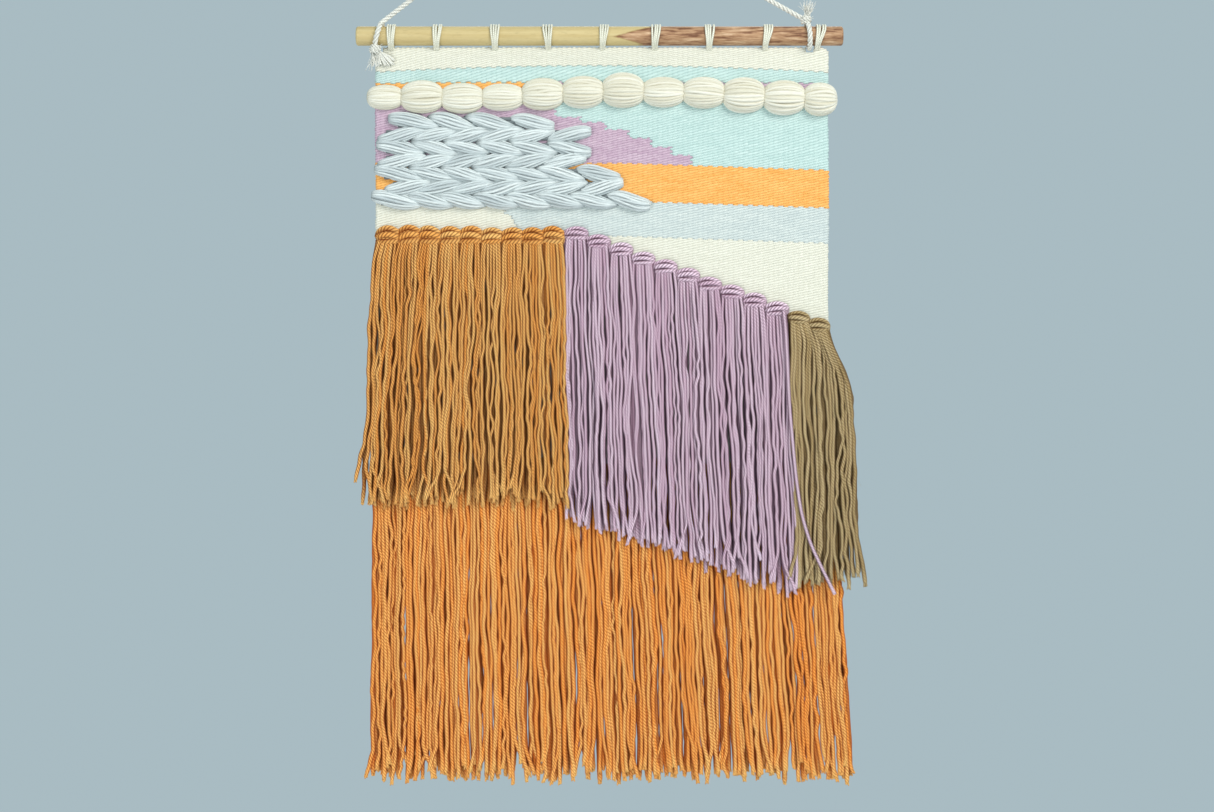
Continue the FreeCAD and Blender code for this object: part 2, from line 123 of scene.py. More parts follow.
# ------------------------------------------------------------------ pieces from points
def build_piece(name, points, loops, sizes, uv, tint, smooth):
    """A mesh object from arrays: face corners, corners per face, a UV for each, a tint for each point."""
    mesh = bpy.data.meshes.new(name)
    mesh.vertices.add(len(points))
    mesh.vertices.foreach_set("co", points.astype(np.float32).ravel())
    mesh.loops.add(len(loops))
    mesh.loops.foreach_set("vertex_index", loops.astype(np.int32))
    mesh.polygons.add(len(sizes))
    starts = np.concatenate([[0], np.cumsum(sizes)[:-1]])
    mesh.polygons.foreach_set("loop_start", starts.astype(np.int32))
    mesh.polygons.foreach_set("use_smooth", smooth.astype(bool))
    mesh.update(calc_edges=True)
    layer = mesh.uv_layers.new(name="thread")
    layer.data.foreach_set("uv", uv.astype(np.float32).ravel())
    colour = mesh.attributes.new("tint", "FLOAT_COLOR", "POINT")
    colour.data.foreach_set("color", tint.astype(np.float32).ravel())
    mesh.validate()
    piece = bpy.data.objects.new(name, mesh)
    bpy.context.scene.collection.objects.link(piece)
    return piece


def unit(vectors):
    """The vectors at length one."""
    return vectors / np.linalg.norm(vectors, axis=-1, keepdims=True)


def run_along(line):
    """How far along the line each of its points lies."""
    steps = np.linalg.norm(np.diff(line, axis=0), axis=1)
    return np.concatenate([[0], np.cumsum(steps)])


def resample(line, gap):
    """The same line with evenly spaced points, about gap apart."""
    run = run_along(line)
    count = max(4, int(round(run[-1] / gap)) + 1)
    even = np.linspace(0, run[-1], count)
    return np.stack([np.interp(even, run, line[:, k]) for k in range(3)], axis=1)


def side_ways(line):
    """Two directions square to the line and to each other, at each of its points."""
    ways = unit(np.gradient(line, axis=0))
    reference = np.eye(3)[np.argmin(np.abs(ways).max(axis=0))]
    across = unit(reference - ways * (ways @ reference)[:, None])
    return across, np.cross(ways, across)


def ring_ways(line, sides):
    """The directions from each of a line's points to the ring of points round it."""
    across, other = side_ways(line)
    angles = np.arange(sides) * 2 * math.pi / sides
    return (np.cos(angles)[None, :, None] * across[:, None, :]
            + np.sin(angles)[None, :, None] * other[:, None, :])


CUT_END = 12 * MM               # how far up a strand the paler look of its cut end reaches
OPEN_FACING = 0.96              # how squarely a side must face the open to get no painted crevice shade
CREVICE_SPREAD = 0.85           # how slowly the painted crevice shade deepens as a side turns away
END_OPENING = 0.75              # how much less painted crevice shade a strand gets at a cut end


def crevices(ring, open_way, end):
    """How much painted crevice shade each point of a strand's rings gets, 0 to 1, by how deep it lies
    between its neighbours; a side turned inwards gets at least half.
    """
    count, sides = ring.shape[:2]
    if open_way is None:
        return np.zeros((count, sides))
    facing = (ring * np.broadcast_to(open_way, (count, 3))[:, None, :]).sum(axis=2)
    depth = np.clip((OPEN_FACING - np.abs(facing)) / CREVICE_SPREAD, 0, 1)
    return np.where(facing < 0, 0.5 + 0.5 * depth, depth) * (1 - END_OPENING * end[:, None])


def spin(name, strands, sides=YARN_SIDES):
    """One piece made of strands of yarn.

    A strand is its line, its radius, its tone from 0 to 1 and the way that its open side faces, or
    None where it gets no painted shade. A short way paints deeper shade on a strand that lies deep among
    others.
    """
    points, loops, sizes, uv, tint, smooth = [], [], [], [], [], []
    base = 0
    for line, radius, tone, open_way in strands:
        count = len(line)
        run = run_along(line)
        radius = np.broadcast_to(radius, count)
        ring = ring_ways(line, sides)
        points.append((line[:, None, :] + radius[:, None, None] * ring).reshape(-1, 3))
        i = np.arange(count - 1)[:, None]
        j = np.arange(sides)[None, :]
        first = base + i * sides + j
        second = base + i * sides + (j + 1) % sides
        quads = np.stack([first, second, second + sides, first + sides], axis=-1)
        loops.append(quads.reshape(-1))
        around = np.stack([j + 0 * i, j + 1 + 0 * i, j + 1 + 0 * i, j + 0 * i], axis=-1) / sides
        slid = run + tone * TWIST_SLIDE
        here = slid[i] + 0 * j
        ahead = slid[i + 1] + 0 * j
        along = np.stack([here, here, ahead, ahead], axis=-1)
        uv.append(np.stack([around, along], axis=-1).reshape(-1, 2))
        sizes.append(np.full((count - 1) * sides, 4))
        smooth.append(np.ones((count - 1) * sides))
        side = np.arange(sides)
        loops.append(base + side[::-1])
        loops.append(base + (count - 1) * sides + side)
        uv.append(np.stack([side[::-1] / sides, 0 * side], axis=1))
        uv.append(np.stack([side / sides, 0 * side + run[-1]], axis=1))
        sizes.append(np.full(2, sides))
        smooth.append(np.zeros(2))
        end = np.clip(1 - (run[-1] - run) / CUT_END, 0, 1)
        # the tint's third channel is painted crevice shade, which the materials mix towards their deep tone
        shade = np.stack([np.full((count, sides), tone), np.repeat(end[:, None], sides, axis=1),
                          crevices(ring, open_way, end), np.ones((count, sides))], axis=-1)
        tint.append(shade.reshape(-1, 4))
        base += count * sides
    return build_piece(name, np.concatenate(points), np.concatenate(loops), np.concatenate(sizes),
                       np.concatenate(uv), np.concatenate(tint), np.concatenate(smooth))


def bundle(rng, centre, across, half_width, depth, angles, radius, gap=2 * MM, skew=0.0, tuck_shade=0.0):
    """Strands side by side over the front half of a bundle that swells between its two tied ends.

    centre is the bundle's line, across the way in the cloth's plane that it is wide, half_width and
    depth its size along that line, and angles where the strands lie, from -90 below to 90 above.
    skew is how far a strand swings round the bundle from one end to the other, in radians, and
    the last argument, from 0 to 1, how much painted shade the two ends get where they tuck under.
    """
    strands = []
    for angle in angles:
        swing = skew * rng.normal() * np.linspace(-1, 1, len(centre))
        turn = math.radians(angle) + rng.normal(0, 0.04) + swing
        thick = radius * rng.uniform(0.92, 1.08)
        wide = np.maximum(half_width - thick, 0.15 * MM)
        deep = np.maximum(depth - thick, 0.1 * MM)
        outward = across * (wide * np.sin(turn))[:, None] + FRONT_WAY * (deep * np.cos(turn))[:, None]
        line = resample(centre + outward, gap)
        middle = resample(centre, run_along(centre)[-1] / (len(line) - 1))
        share = np.linspace(0, 1, len(line))
        # painted shade at both ends of a strand: a shorter open way deepens its crevice shade there
        tuck_shading = 1 - tuck_shade * (1 - fade(share, 0.0, 0.2) + fade(share, 0.8, 1.0))
        strands.append((line, thick, rng.random(), open_side(line, middle) * tuck_shading[:, None]))
    return strands


def open_side(line, middle):
    """The way out of a bundle for each point of a strand, lengthened to narrow its painted crevice shade."""
    share = np.linspace(0, 1, len(middle))
    even = np.linspace(0, 1, len(line))
    core = np.stack([np.interp(even, share, middle[:, k]) for k in range(3)], axis=1)
    return 1.22 * unit(line - core + np.array([0.0, -0.6 * MM, 0.0]))


# ------------------------------------------------------------------ the woven cloth
COLUMNS = 2 * int(round((CLOTH_RIGHT - CLOTH_LEFT) / WARP_PITCH))
ROWS = int(round((CLOTH_TOP - HEM_Z) / ROW_HEIGHT))
LOOP_SLOT_X = sum(span("right_cord_loop", 0)) / 2
LOOP_SLOT_HALF = 3.0 * MM
LOOP_SLOT_DEPTH = 3.8 * MM
KNOT_CORNER_WIDTH = 6.6 * MM    # the top left corner that is cut back for the cord's knot
KNOT_CORNER_REACH = 15.6 * MM   # down the left edge, where the slanting cut starts
ROUND_CORNER = 4.4 * MM
NO_CLOTH = -1
AREAS = ["header_weft", "aqua_stripe_weft", "orange_stripe_weft", "mauve_field_weft",
         "aqua_field_weft", "orange_band_weft", "ice_band_weft", "cream_field_weft"]


ARCH_MIDDLE_X = 33 * MM         # the top bands arch about here
ARCH_HALF_WIDTH = 189 * MM
ARCH_END_Z = -162 * MM          # and lie level again below here
SLOPE_START_X = 52 * MM         # the lower bands fall away to the right of here
SLOPE = 0.034
SLOPE_END_Z = -190 * MM         # and lie level again above here


def sag(x, z):
    """How far the weave lies above or below a true level line, where its bands are beaten unevenly."""
    arched = 4.0 * MM - 5.4 * MM * ((x - ARCH_MIDDLE_X) / ARCH_HALF_WIDTH) ** 2
    sloped = 1.5 * MM - SLOPE * np.maximum(x - SLOPE_START_X, 0)
    near_header = fade(z, ARCH_END_Z, HEADER_BOTTOM) * (1 - fade(z, HEADER_BOTTOM, CLOTH_TOP))
    in_bands = 1 - fade(z, FIELD_BOTTOM * 0.98, SLOPE_END_Z)
    above_hem = fade(z, HEM_Z, HEM_Z + 120 * MM)
    return arched * near_header + sloped * in_bands * above_hem


def mauve_edge(z):
    """Where the mauve field ends at a height: six steps down, each a little narrower than the last."""
    step = np.where(z > FIRST_STEP_Z, 0, np.floor((SECOND_STEP_Z - z) / STEP_HEIGHT) + 2)
    step = np.where((z <= FIRST_STEP_Z) & (z > SECOND_STEP_Z), 1, step)
    step = np.minimum(step, STEP_COUNT)
    return FIRST_STEP_X + (STEP_WIDTH * step - STEP_LOSS * step ** 2) * MM


def area_of_cells():
    """The area of colour that each cell of the weave belongs to, with the threads' ends interlocked."""
    row = np.arange(ROWS)[:, None]
    column = np.arange(COLUMNS)[None, :]
    tooth = np.where((column // 2) % 2 == 0, 0.5, -0.5)
    z = CLOTH_TOP - (row + 0.5 + tooth) * ROW_HEIGHT
    x = CLOTH_LEFT + (column + 0.5 + np.where((row // 2) % 2 == 0, 0.5, -0.5)) * WARP_PITCH / 2
    area = np.full((ROWS, COLUMNS), AREAS.index("cream_field_weft"))
    slanting_end = ICE_BAND_LEFT - 3 * MM + 10 * MM * fade(-z, 262 * MM, 276 * MM)
    area[(z > ICE_BAND_BOTTOM) & (x > slanting_end)] = AREAS.index("ice_band_weft")
    area[z > ORANGE_BAND_BOTTOM] = AREAS.index("orange_band_weft")
    area[z > FIELD_BOTTOM] = AREAS.index("aqua_field_weft")
    area[(z > FIELD_BOTTOM) & (x < mauve_edge(z))] = AREAS.index("mauve_field_weft")
    area[z > THIN_STRIPE_BOTTOM] = AREAS.index("mauve_field_weft")
    area[(z > THIN_STRIPE_BOTTOM) & (x < STRIPE_CHANGE_X)] = AREAS.index("orange_stripe_weft")
    area[z > AQUA_STRIPE_BOTTOM] = AREAS.index("aqua_stripe_weft")
    area[z > HEADER_BOTTOM] = AREAS.index("header_weft")
    below_top = (row + 0.5) * ROW_HEIGHT + 0 * column
    from_left = (column + 0.5) * WARP_PITCH / 2 + 0 * row
    from_right = (CLOTH_RIGHT - CLOTH_LEFT) - from_left
    knot_corner = (from_left < KNOT_CORNER_WIDTH) & (below_top < KNOT_CORNER_REACH - from_left)
    round_corner = from_right + below_top < ROUND_CORNER
    beside_slot = np.abs(CLOTH_LEFT + from_left - LOOP_SLOT_X)
    loop_slot = (beside_slot < LOOP_SLOT_HALF) & (below_top < LOOP_SLOT_DEPTH)
    area[knot_corner | round_corner | loop_slot] = NO_CLOTH
    return area


def weave_points(rng):
    """The front and back points of the whole weave, one pair for each crossing of rows and columns."""
    row = np.arange(ROWS + 1)[:, None]
    column = np.arange(COLUMNS + 1)[None, :]
    x = CLOTH_LEFT + column * WARP_PITCH / 2 + 0 * row
    z = CLOTH_TOP - row * ROW_HEIGHT + 0 * column
    on_warp = column % 2 == 1
    over = (column // 2 + row) % 2 == 0
    uneven = rng.normal(0, 0.05 * MM, x.shape)
    under_bump = -0.2 * BUMP
    between_bump = -0.5 * BUMP
    front_bump = np.where(on_warp, np.where(over, BUMP, under_bump), between_bump) + uneven
    back_bump = np.where(on_warp, np.where(over, under_bump, BUMP), between_bump) + uneven[::-1]
    to_side = np.minimum(column, COLUMNS - column)
    to_end = np.minimum(row, ROWS - row)
    side_round = np.array([0.55, 0.92, 1.0])
    end_round = np.array([0.62, 0.9, 1.0])
    rim = np.minimum(side_round[np.minimum(to_side, 2)], end_round[np.minimum(to_end, 2)])
    wave = 0.25 * MM * np.sin(x / (61 * MM) + 0.8) * np.sin(z / (83 * MM))
    front = wave - (CLOTH_HALF + front_bump) * rim
    back = wave + (CLOTH_HALF + back_bump) * rim
    scallop = np.where(on_warp, 0.35 * MM, -0.6 * MM)
    z = z + sag(x, z) + rng.normal(0, 0.05 * MM, z.shape)
    z = z + np.where(row == 0, scallop, 0) + np.where(row == 1, scallop * 0.4, 0)
    row_pull = rng.normal(0, 0.22 * MM, (ROWS + 1, 1))
    selvedge = row_pull * np.clip(1 - to_side / 3, 0, 1) * np.where(column < COLUMNS / 2, 1, -1)
    x = x + selvedge + 0.35 * MM * np.sin(z / (23 * MM)) * np.clip(1 - to_side / 8, 0, 1)
    return np.stack([x, front, z], axis=-1), np.stack([x, back, z], axis=-1)


def woven_area(name, mask, front, back):
    """One area of weft as a thin closed piece, front, back and rim; gives it and its flat area."""
    rows, columns = np.nonzero(mask)
    grid = np.arange((ROWS + 1) * (COLUMNS + 1)).reshape(ROWS + 1, COLUMNS + 1)
    shift = grid.size

    def corner(down, right):
        """The index of one corner of every cell in the mask."""
        return grid[rows + down, columns + right]

    faces = [np.stack([corner(0, 0), corner(1, 0), corner(1, 1), corner(0, 1)], axis=1),
             np.stack([corner(0, 0), corner(0, 1), corner(1, 1), corner(1, 0)], axis=1) + shift]
    rim_faces = []
    wide = np.pad(mask, 1)
    sides = [  # the neighbouring cell in the widened mask, and the side's first and second corner
        ((0, 1), (0, 0), (0, 1)), ((2, 1), (1, 1), (1, 0)),
        ((1, 0), (1, 0), (0, 0)), ((1, 2), (0, 1), (1, 1)),
    ]
    for beside, start, end in sides:
        bare = ~wide[rows + beside[0], columns + beside[1]]
        a = corner(*start)[bare]
        b = corner(*end)[bare]
        rim_faces.append(np.stack([a, b, b + shift, a + shift], axis=1))
    quads = np.concatenate(faces + rim_faces)
    used, loops = np.unique(quads.reshape(-1), return_inverse=True)
    points = np.concatenate([front.reshape(-1, 3), back.reshape(-1, 3)])[used]
    place = used % shift
    thread = np.stack([(place % (COLUMNS + 1)) / 2, (place // (COLUMNS + 1)) / 2], axis=1)
    smooth = np.concatenate([np.ones(2 * len(rows)), np.zeros(len(quads) - 2 * len(rows))])
    tint = np.ones((len(points), 4)) * np.array([0.5, 0, 0, 1])
    piece = build_piece(name, points, loops.reshape(-1), np.full(len(quads), 4),
                        thread[loops.reshape(-1)], tint, smooth)
    return piece, len(rows) * ROW_HEIGHT * WARP_PITCH / 2


def make_cloth():
    """The eight areas of weft on one shared weave; gives each piece and its flat area by name."""
    rng = np.random.default_rng(11)
    area = area_of_cells()
    front, back = weave_points(rng)
    return {name: woven_area(name.replace("_weft", "_weave"), area == i, front, back)
            for i, name in enumerate(AREAS)}


def make_warps():
    """The cotton warps that the weft is packed round, hidden inside the cloth."""
    rng = np.random.default_rng(5)
    strands = []
    inset = 2.0 * MM
    for k in range(COLUMNS // 2):
        x = CLOTH_LEFT + (k + 0.5) * WARP_PITCH
        below_top = inset
        if abs(x - LOOP_SLOT_X) < LOOP_SLOT_HALF + inset:
            below_top = 5.6 * MM
        if x - CLOTH_LEFT < 7 * MM:
            below_top = KNOT_CORNER_REACH
        ends = np.array([[x, 0, HEM_Z + inset], [x, 0, CLOTH_TOP - below_top]])
        strands.append((resample(ends, 12 * MM), WARP_RADIUS, rng.random(), None))
    return spin("warps", strands, 6)


# ------------------------------------------------------------------ bobbles, braids and knots
BOBBLE_SHAPES = [  # half height and how far the middle lies above the row's line, left to right
    (10.6, -0.4), (14.0, 0.0), (13.0, -1.2), (11.6, -0.4), (13.8, 2.1), (13.8, 3.8),
    (15.0, 5.6), (13.0, 3.8), (13.4, 3.4), (15.2, 1.3), (14.8, -0.8), (14.2, -2.1),
]
BOBBLE_DEPTH = 11.0 * MM        # of a bobble with the usual half height
BOBBLE_HALF = 13.5              # mm
BOBBLE_NECK = 3.4 * MM          # half height where the roving is tied down
BOBBLE_NECK_DEPTH = 2.2 * MM
BOBBLE_FIRST_NECK = -131.8 * MM
BOBBLE_PITCH = 33.55 * MM
BOBBLE_POINTS = 19


def bobble_necks():
    """Where the bobble row is tied down: its two ends and the necks between bobbles."""
    left, right = span("bobble_row", 0)
    between = [BOBBLE_FIRST_NECK + BOBBLE_PITCH * i for i in range(len(BOBBLE_SHAPES) - 1)]
    return [left - 1 * MM] + between + [right + 1 * MM]


def make_bobbles():
    """A bundle of roving laid along the cloth that puffs out between its ties."""
    rng = np.random.default_rng(23)
    line_z = sum(span("bobble_row", 2)) / 2
    necks = bobble_necks()
    lifts = [lift for _, lift in BOBBLE_SHAPES]
    neck_lifts = [lifts[0]] + [(a + b) / 2 for a, b in zip(lifts, lifts[1:])] + [lifts[-1]]
    t = np.linspace(0, 1, BOBBLE_POINTS)
    puff = np.sin(math.pi * t) ** 0.84
    across = np.tile(UP_WAY, (BOBBLE_POINTS, 1))
    strands = []
    for k, (half_height, lift) in enumerate(BOBBLE_SHAPES):
        x = necks[k] + (necks[k + 1] - necks[k]) * (0.5 - 0.5 * np.cos(math.pi * t))
        ends = neck_lifts[k] + (neck_lifts[k + 1] - neck_lifts[k]) * t
        z = line_z + (ends * (1 - puff) + lift * puff) * MM
        centre = np.stack([x, np.full(BOBBLE_POINTS, CLOTH_FACE + 0.1 * MM), z], axis=1)
        wide = BOBBLE_NECK + (half_height * MM - BOBBLE_NECK) * puff
        full_depth = BOBBLE_DEPTH * half_height / BOBBLE_HALF
        deep = BOBBLE_NECK_DEPTH + (full_depth - BOBBLE_NECK_DEPTH) * puff
        # painted shade at the necks, where the strands' ends tuck under
        strands += bundle(rng, centre, across, wide, deep, np.linspace(-90, 90, 14), BOBBLE_YARN,
                          gap=2.2 * MM, skew=0.1, tuck_shade=0.4)
        strands += bundle(rng, centre, across, wide - 0.9 * MM, deep - 0.9 * MM,
                          np.linspace(-82, 82, 11), 1.9 * MM, gap=3 * MM)
    return spin("bobbles", strands)


STITCH_LENGTH = 40.0 * MM
STITCH_PITCH = 28.5 * MM
STITCH_TILT = 3.6 * MM          # how far a stitch's ends lie above and below its row's line
STITCH_HALF = 6.7 * MM          # half height and depth at its middle, and at its ends
STITCH_DEPTH = 7.6 * MM
STITCH_END_HALF = 1.3 * MM
STITCH_END_DEPTH = 1.0 * MM


def soumak_stitch(rng, left, right, z, way, blunt_left, blunt_right):
    """One lens-shaped stitch of the braid; way is 1 where it falls to the right, -1 where it rises."""
    t = np.linspace(0, 1, 21)
    puff = np.sin(math.pi * t ** 0.9) ** 0.75
    blunt = np.clip(np.sin(math.pi * t), 0.02, 1) ** 0.24
    if blunt_left:
        puff = np.where(t < 0.5, blunt, puff)
    if blunt_right:
        puff = np.where(t > 0.5, blunt, puff)
    tilt = STITCH_TILT * rng.uniform(0.85, 1.15) * way
    bow = 0.6 * MM * rng.uniform(-1, 1)
    rise = tilt * np.cos(math.pi * t) + bow * np.sin(math.pi * t)
    x = left + (right - left) * t
    lie = CLOTH_FACE + 0.6 * MM - 1.3 * MM * t
    centre = np.stack([x, lie, z + rise], axis=1)
    along = unit(np.gradient(centre, axis=0))
    across = np.stack([-along[:, 2], 0 * t, along[:, 0]], axis=1)
    wide = STITCH_END_HALF + (STITCH_HALF * rng.uniform(0.94, 1.08) - STITCH_END_HALF) * puff
    deep = STITCH_END_DEPTH + (STITCH_DEPTH * rng.uniform(0.92, 1.05) - STITCH_END_DEPTH) * puff
    # painted shade at the stitch's ends, where it tucks under its neighbours; the inner strands' ends get it
    # in full
    tuck_shade = 0.35 if blunt_left or blunt_right else 0.8
    outer = bundle(rng, centre, across, wide, deep, np.linspace(-90, 90, 8), BRAID_YARN,
                   gap=1.8 * MM, skew=0.14, tuck_shade=tuck_shade)
    inner = bundle(rng, centre, across, wide * 0.86, deep * 0.84, (-78, -52, -26, 0, 26, 52, 78),
                   BRAID_CORE_YARN, gap=3 * MM, tuck_shade=1.0)
    return outer + inner


def make_soumak_row(row):
    """One row of the braid, from the cloth's left edge to its rounded right end."""
    rng = np.random.default_rng(40 + row)
    node = f"soumak_row_{row}"
    left, right = span(node, 0)
    z = sum(span(node, 2)) / 2
    way = 1 if row % 2 == 1 else -1
    count = max(3, int(round((right - left - STITCH_LENGTH) / STITCH_PITCH)) + 1)
    pitch = (right - left - STITCH_LENGTH * 1.04) / (count - 1)
    behind = CLOTH_FACE - 0.6 * MM
    strands = []
    # strands behind the stitches in full painted shade, which show as shade in the gaps between rows
    for height in (-2.8 * MM, 0.0, 2.8 * MM):
        line = np.array([[left + 7 * MM, behind, z + height], [right - 9 * MM, behind, z + height]])
        strands.append((resample(line, 6 * MM), BRAID_CORE_YARN, 0.2, np.zeros(3)))
    for k in range(count):
        start = left + pitch * k + rng.normal(0, 0.7 * MM) * (0 < k < count - 1)
        length = STITCH_LENGTH * rng.uniform(0.97, 1.07)
        if k == 0:
            start += 0.6 * MM if way < 0 else -0.6 * MM
        if k == count - 1:
            start += 6 * MM
            length = right + 0.5 * MM - start
        strands += soumak_stitch(rng, start, start + length, z, way, k == 0, k == count - 1)
    return spin(node.replace("soumak", "braid"), strands)


KNOT_FLAT = 0.74                # how much of a round bar's front a knot's strands cover
KNOT_DEPTH = 6.8 * MM
KNOT_POINTS = 15


def tied_knot(rng, left, right, bottom, top, count, tilt=0.0):
    """The bar of a knot: a few strands side by side that cross in front of a tassel's top."""
    t = np.linspace(0, 1, KNOT_POINTS)
    puff = np.sin(math.pi * t) ** 0.7
    half = (top - bottom) / 2
    middle = (top + bottom) / 2 + half * (0.4 * np.sin(math.pi * t) - 0.34) + tilt * (t - 0.5)
    swing = np.cos(math.pi * t)
    x = left + (right - left) * (0.5 - 0.5 * swing * (0.8 + 0.2 * np.abs(swing)))
    centre = np.stack([x, np.full(KNOT_POINTS, CLOTH_FACE + 0.6 * MM), middle], axis=1)
    across = np.tile(UP_WAY, (KNOT_POINTS, 1))
    wide = half * (0.4 + 0.6 * puff) * rng.uniform(0.98, 1.08) / KNOT_FLAT
    deep = 0.6 * MM + KNOT_DEPTH * puff
    radius = half / count * 1.12
    angles = np.degrees(np.arcsin(np.linspace(-0.92, 0.92, count) * KNOT_FLAT))
    # painted shade at the bar's ends, where they tuck round the tassel
    outer = bundle(rng, centre, across, wide, deep, angles, radius, gap=1.7 * MM, skew=0.1, tuck_shade=0.6)
    inner = bundle(rng, centre, across, wide * 0.72, deep * 0.74, (-36, 0, 36), radius * 1.2, gap=3 * MM)
    return outer + inner


def knot_places(node, count, gap=0.8 * MM, drop=0.0):
    """The left, right and top of each knot in a row of them."""
    left, right = span(node, 0)
    top = span(node, 2)[1]
    pitch = (right - left + gap) / count
    return [(left - gap / 2 + pitch * i, left - gap / 2 + pitch * (i + 1), top - drop * i)
            for i in range(count)]


OCHRE_KNOT_HEIGHT = 14 * MM
SLANTING_KNOT_HEIGHT = 10.6 * MM
ORANGE_KNOT_HEIGHT = 11.6 * MM
OCHRE_KNOTS = knot_places("ochre_knots", 9)
LILAC_DROP = (span("lilac_knots", 2)[1] - span("lilac_knots", 2)[0] - SLANTING_KNOT_HEIGHT) / 9
LILAC_KNOTS = knot_places("lilac_knots", 10, drop=LILAC_DROP)
OLIVE_DROP = span("olive_knots", 2)[1] - span("olive_knots", 2)[0] - SLANTING_KNOT_HEIGHT
OLIVE_KNOTS = knot_places("olive_knots", 2, drop=OLIVE_DROP)
ORANGE_KNOTS = knot_places("orange_knots", 22)


def make_knots():
    """The four rows of knots, the orange one on the cloth's back; gives each piece by its node's name."""
    rng = np.random.default_rng(57)
    ochre, lilac, olive, orange = [], [], [], []
    for left, right, top in OCHRE_KNOTS:
        lift = rng.uniform(-0.8, 1.6) * MM
        ochre += tied_knot(rng, left + 0.1 * MM, right - 0.1 * MM, top - OCHRE_KNOT_HEIGHT + 0.3 * lift,
                           top + lift, 3, rng.uniform(-1.8, 1.8) * MM)
    for left, right, top in LILAC_KNOTS:
        lift = rng.uniform(-0.6, 0.9) * MM
        lilac += tied_knot(rng, left + 0.2 * MM, right - 0.2 * MM, top - SLANTING_KNOT_HEIGHT,
                           top + lift, 3, rng.uniform(-1.2, 0.8) * MM)
    for left, right, top in OLIVE_KNOTS:
        olive += tied_knot(rng, left, right, top - SLANTING_KNOT_HEIGHT, top, 3,
                           rng.uniform(-1.4, -0.4) * MM)
    pieces = {
        "ochre_knots": spin("ochre_knot_bars", ochre),
        "lilac_knots": spin("lilac_knot_bars", lilac),
        "olive_knots": spin("olive_knot_bars", olive),
    }
    to_back = np.array([1, -1, 1])
    for left, right, top in ORANGE_KNOTS:
        bars = tied_knot(rng, left, right, top - ORANGE_KNOT_HEIGHT, top, 4)
        orange += [(line * to_back, radius, tone, way * to_back) for line, radius, tone, way in bars]
    pieces["orange_knots"] = spin("orange_knot_bars", orange)
    return pieces


# ------------------------------------------------------------------ tassels
class Fringe:
    """How the tassels of one colour are made."""

    def __init__(self, colour, node, radius, front, back, waves, ragged, depths):
        """Keeps the values that the tassels of this colour share."""
        self.node = node
        self.body = f"{colour}_fringe"
        self.slot = f"{colour}_yarn"
        self.radius = radius        # of a strand
        self.front = front          # strands in the front layer of a tassel
        self.back = back            # and in the layer behind it
        self.waves = waves          # how far a strand strays to each side
        self.ragged = ragged        # how uneven the cut ends are
        self.depths = depths        # Y of the two layers


FRONT_DEPTHS = (-6.9 * MM, -3.7 * MM)
HEM_DEPTHS = (-0.7 * MM, 2.5 * MM)
OCHRE = Fringe("ochre", "ochre_tassel_{}", TASSEL_YARN, 7, 7, 1.2 * MM, 7 * MM, FRONT_DEPTHS)
LILAC = Fringe("lilac", "lilac_tassel_{}", TASSEL_YARN, 7, 7, 0.9 * MM, 6 * MM, FRONT_DEPTHS)
OLIVE = Fringe("olive", "olive_tassel_{}", TASSEL_YARN * 1.1, 9, 12, 1.3 * MM, 7 * MM, FRONT_DEPTHS)
ORANGE = Fringe("orange", "orange_tassels", ORANGE_YARN, 6, 6, 0.95 * MM, 8 * MM, HEM_DEPTHS)
CALM = 0.45                     # what the strands of the layer behind keep of the front ones' waves
HAIR_RADIUS = 0.07 * MM
RING_GAP = 3.0 * MM             # between two rings of points down a strand
OCHRE_TIPS_Z = -505 * MM
LILAC_FIRST_TIP_Z = -517.5 * MM
LILAC_TIPS_SLOPE = 0.345        # how steeply the lilac tips fall away to the right
OLIVE_TIPS_Z = -570 * MM
ORANGE_TIPS_Z = -733 * MM
OCHRE_SPREAD = 14.0 * MM        # how far the ochre fringe's left edge leans outwards
OCHRE_LEAN = 6.0 * MM           # and its right edge over the lilac one


def stray(rng, run, reach):
    """A strand's own small bends to one side and the other, none of them at its knot."""
    total = np.zeros(len(run))
    for wavelength, share in ((110, 0.6), (46, 0.45), (24, 0.4), (14, 0.28)):
        length = wavelength * rng.uniform(0.7, 1.4) * MM
        patch = 0.5 + 0.5 * np.sin(2 * math.pi * (run / (3.7 * length) + rng.random()))
        total += share * rng.normal(0, 1.2) * patch * np.sin(2 * math.pi * (run / length + rng.random()))
    return total * reach * fade(run, 4 * MM, 45 * MM)


def flow(x, run, reach):
    """The bends that neighbouring strands share, so that they nestle side by side."""
    total = np.zeros(len(run))
    for down, along, start, share in ((171, 61, 0.1, 0.8), (97, -37, 0.6, 0.5), (53, 26, 0.35, 0.32),
                                      (34, -17, 0.8, 0.16)):
        total += share * np.sin(2 * math.pi * (run / (down * MM) + x / (along * MM) + start))
    return total * reach * fade(run, 6 * MM, 60 * MM)


def hanging_strand(rng, top, middle_x, tip, fringe, layer):
    """One strand from its place under the knot, spreading to its own lane, to its tip."""
    waves = fringe.waves * (CALM if layer == 1 else 1.0)
    # the layer behind faces the back, so from the front it gets painted shade
    open_way = FRONT_WAY if layer == 0 else -FRONT_WAY
    length = top[2] - tip[2]
    run = np.linspace(0, length, int(length / RING_GAP))
    lane = middle_x + (tip[0] - middle_x) * run / length
    opening = max(20 * MM, 3.4 * abs(middle_x - top[0]))
    x = top[0] + (lane - top[0]) * fade(run, -8 * MM, opening)
    x = x + flow(middle_x, run, waves) + stray(rng, run, waves)
    if rng.random() < 0.5:
        x = x + rng.normal(0, 4.6) * waves * fade(run, length - 30 * MM, length + 4 * MM)
    y = top[1] + (tip[1] - top[1]) * fade(run, 0, 16 * MM) + 0.4 * stray(rng, run, waves)
    thick = fringe.radius * rng.uniform(0.88, 1.1) * (1 + 0.1 * layer)
    thick = thick * (1 + 0.07 * np.sin(run / (6 * MM) + rng.random() * 6))
    thick = thick * (1 - 0.24 * fade(run, length - 2.2 * MM, length))
    return np.stack([x, y, top[2] - run], axis=1), thick, rng.random(), open_way


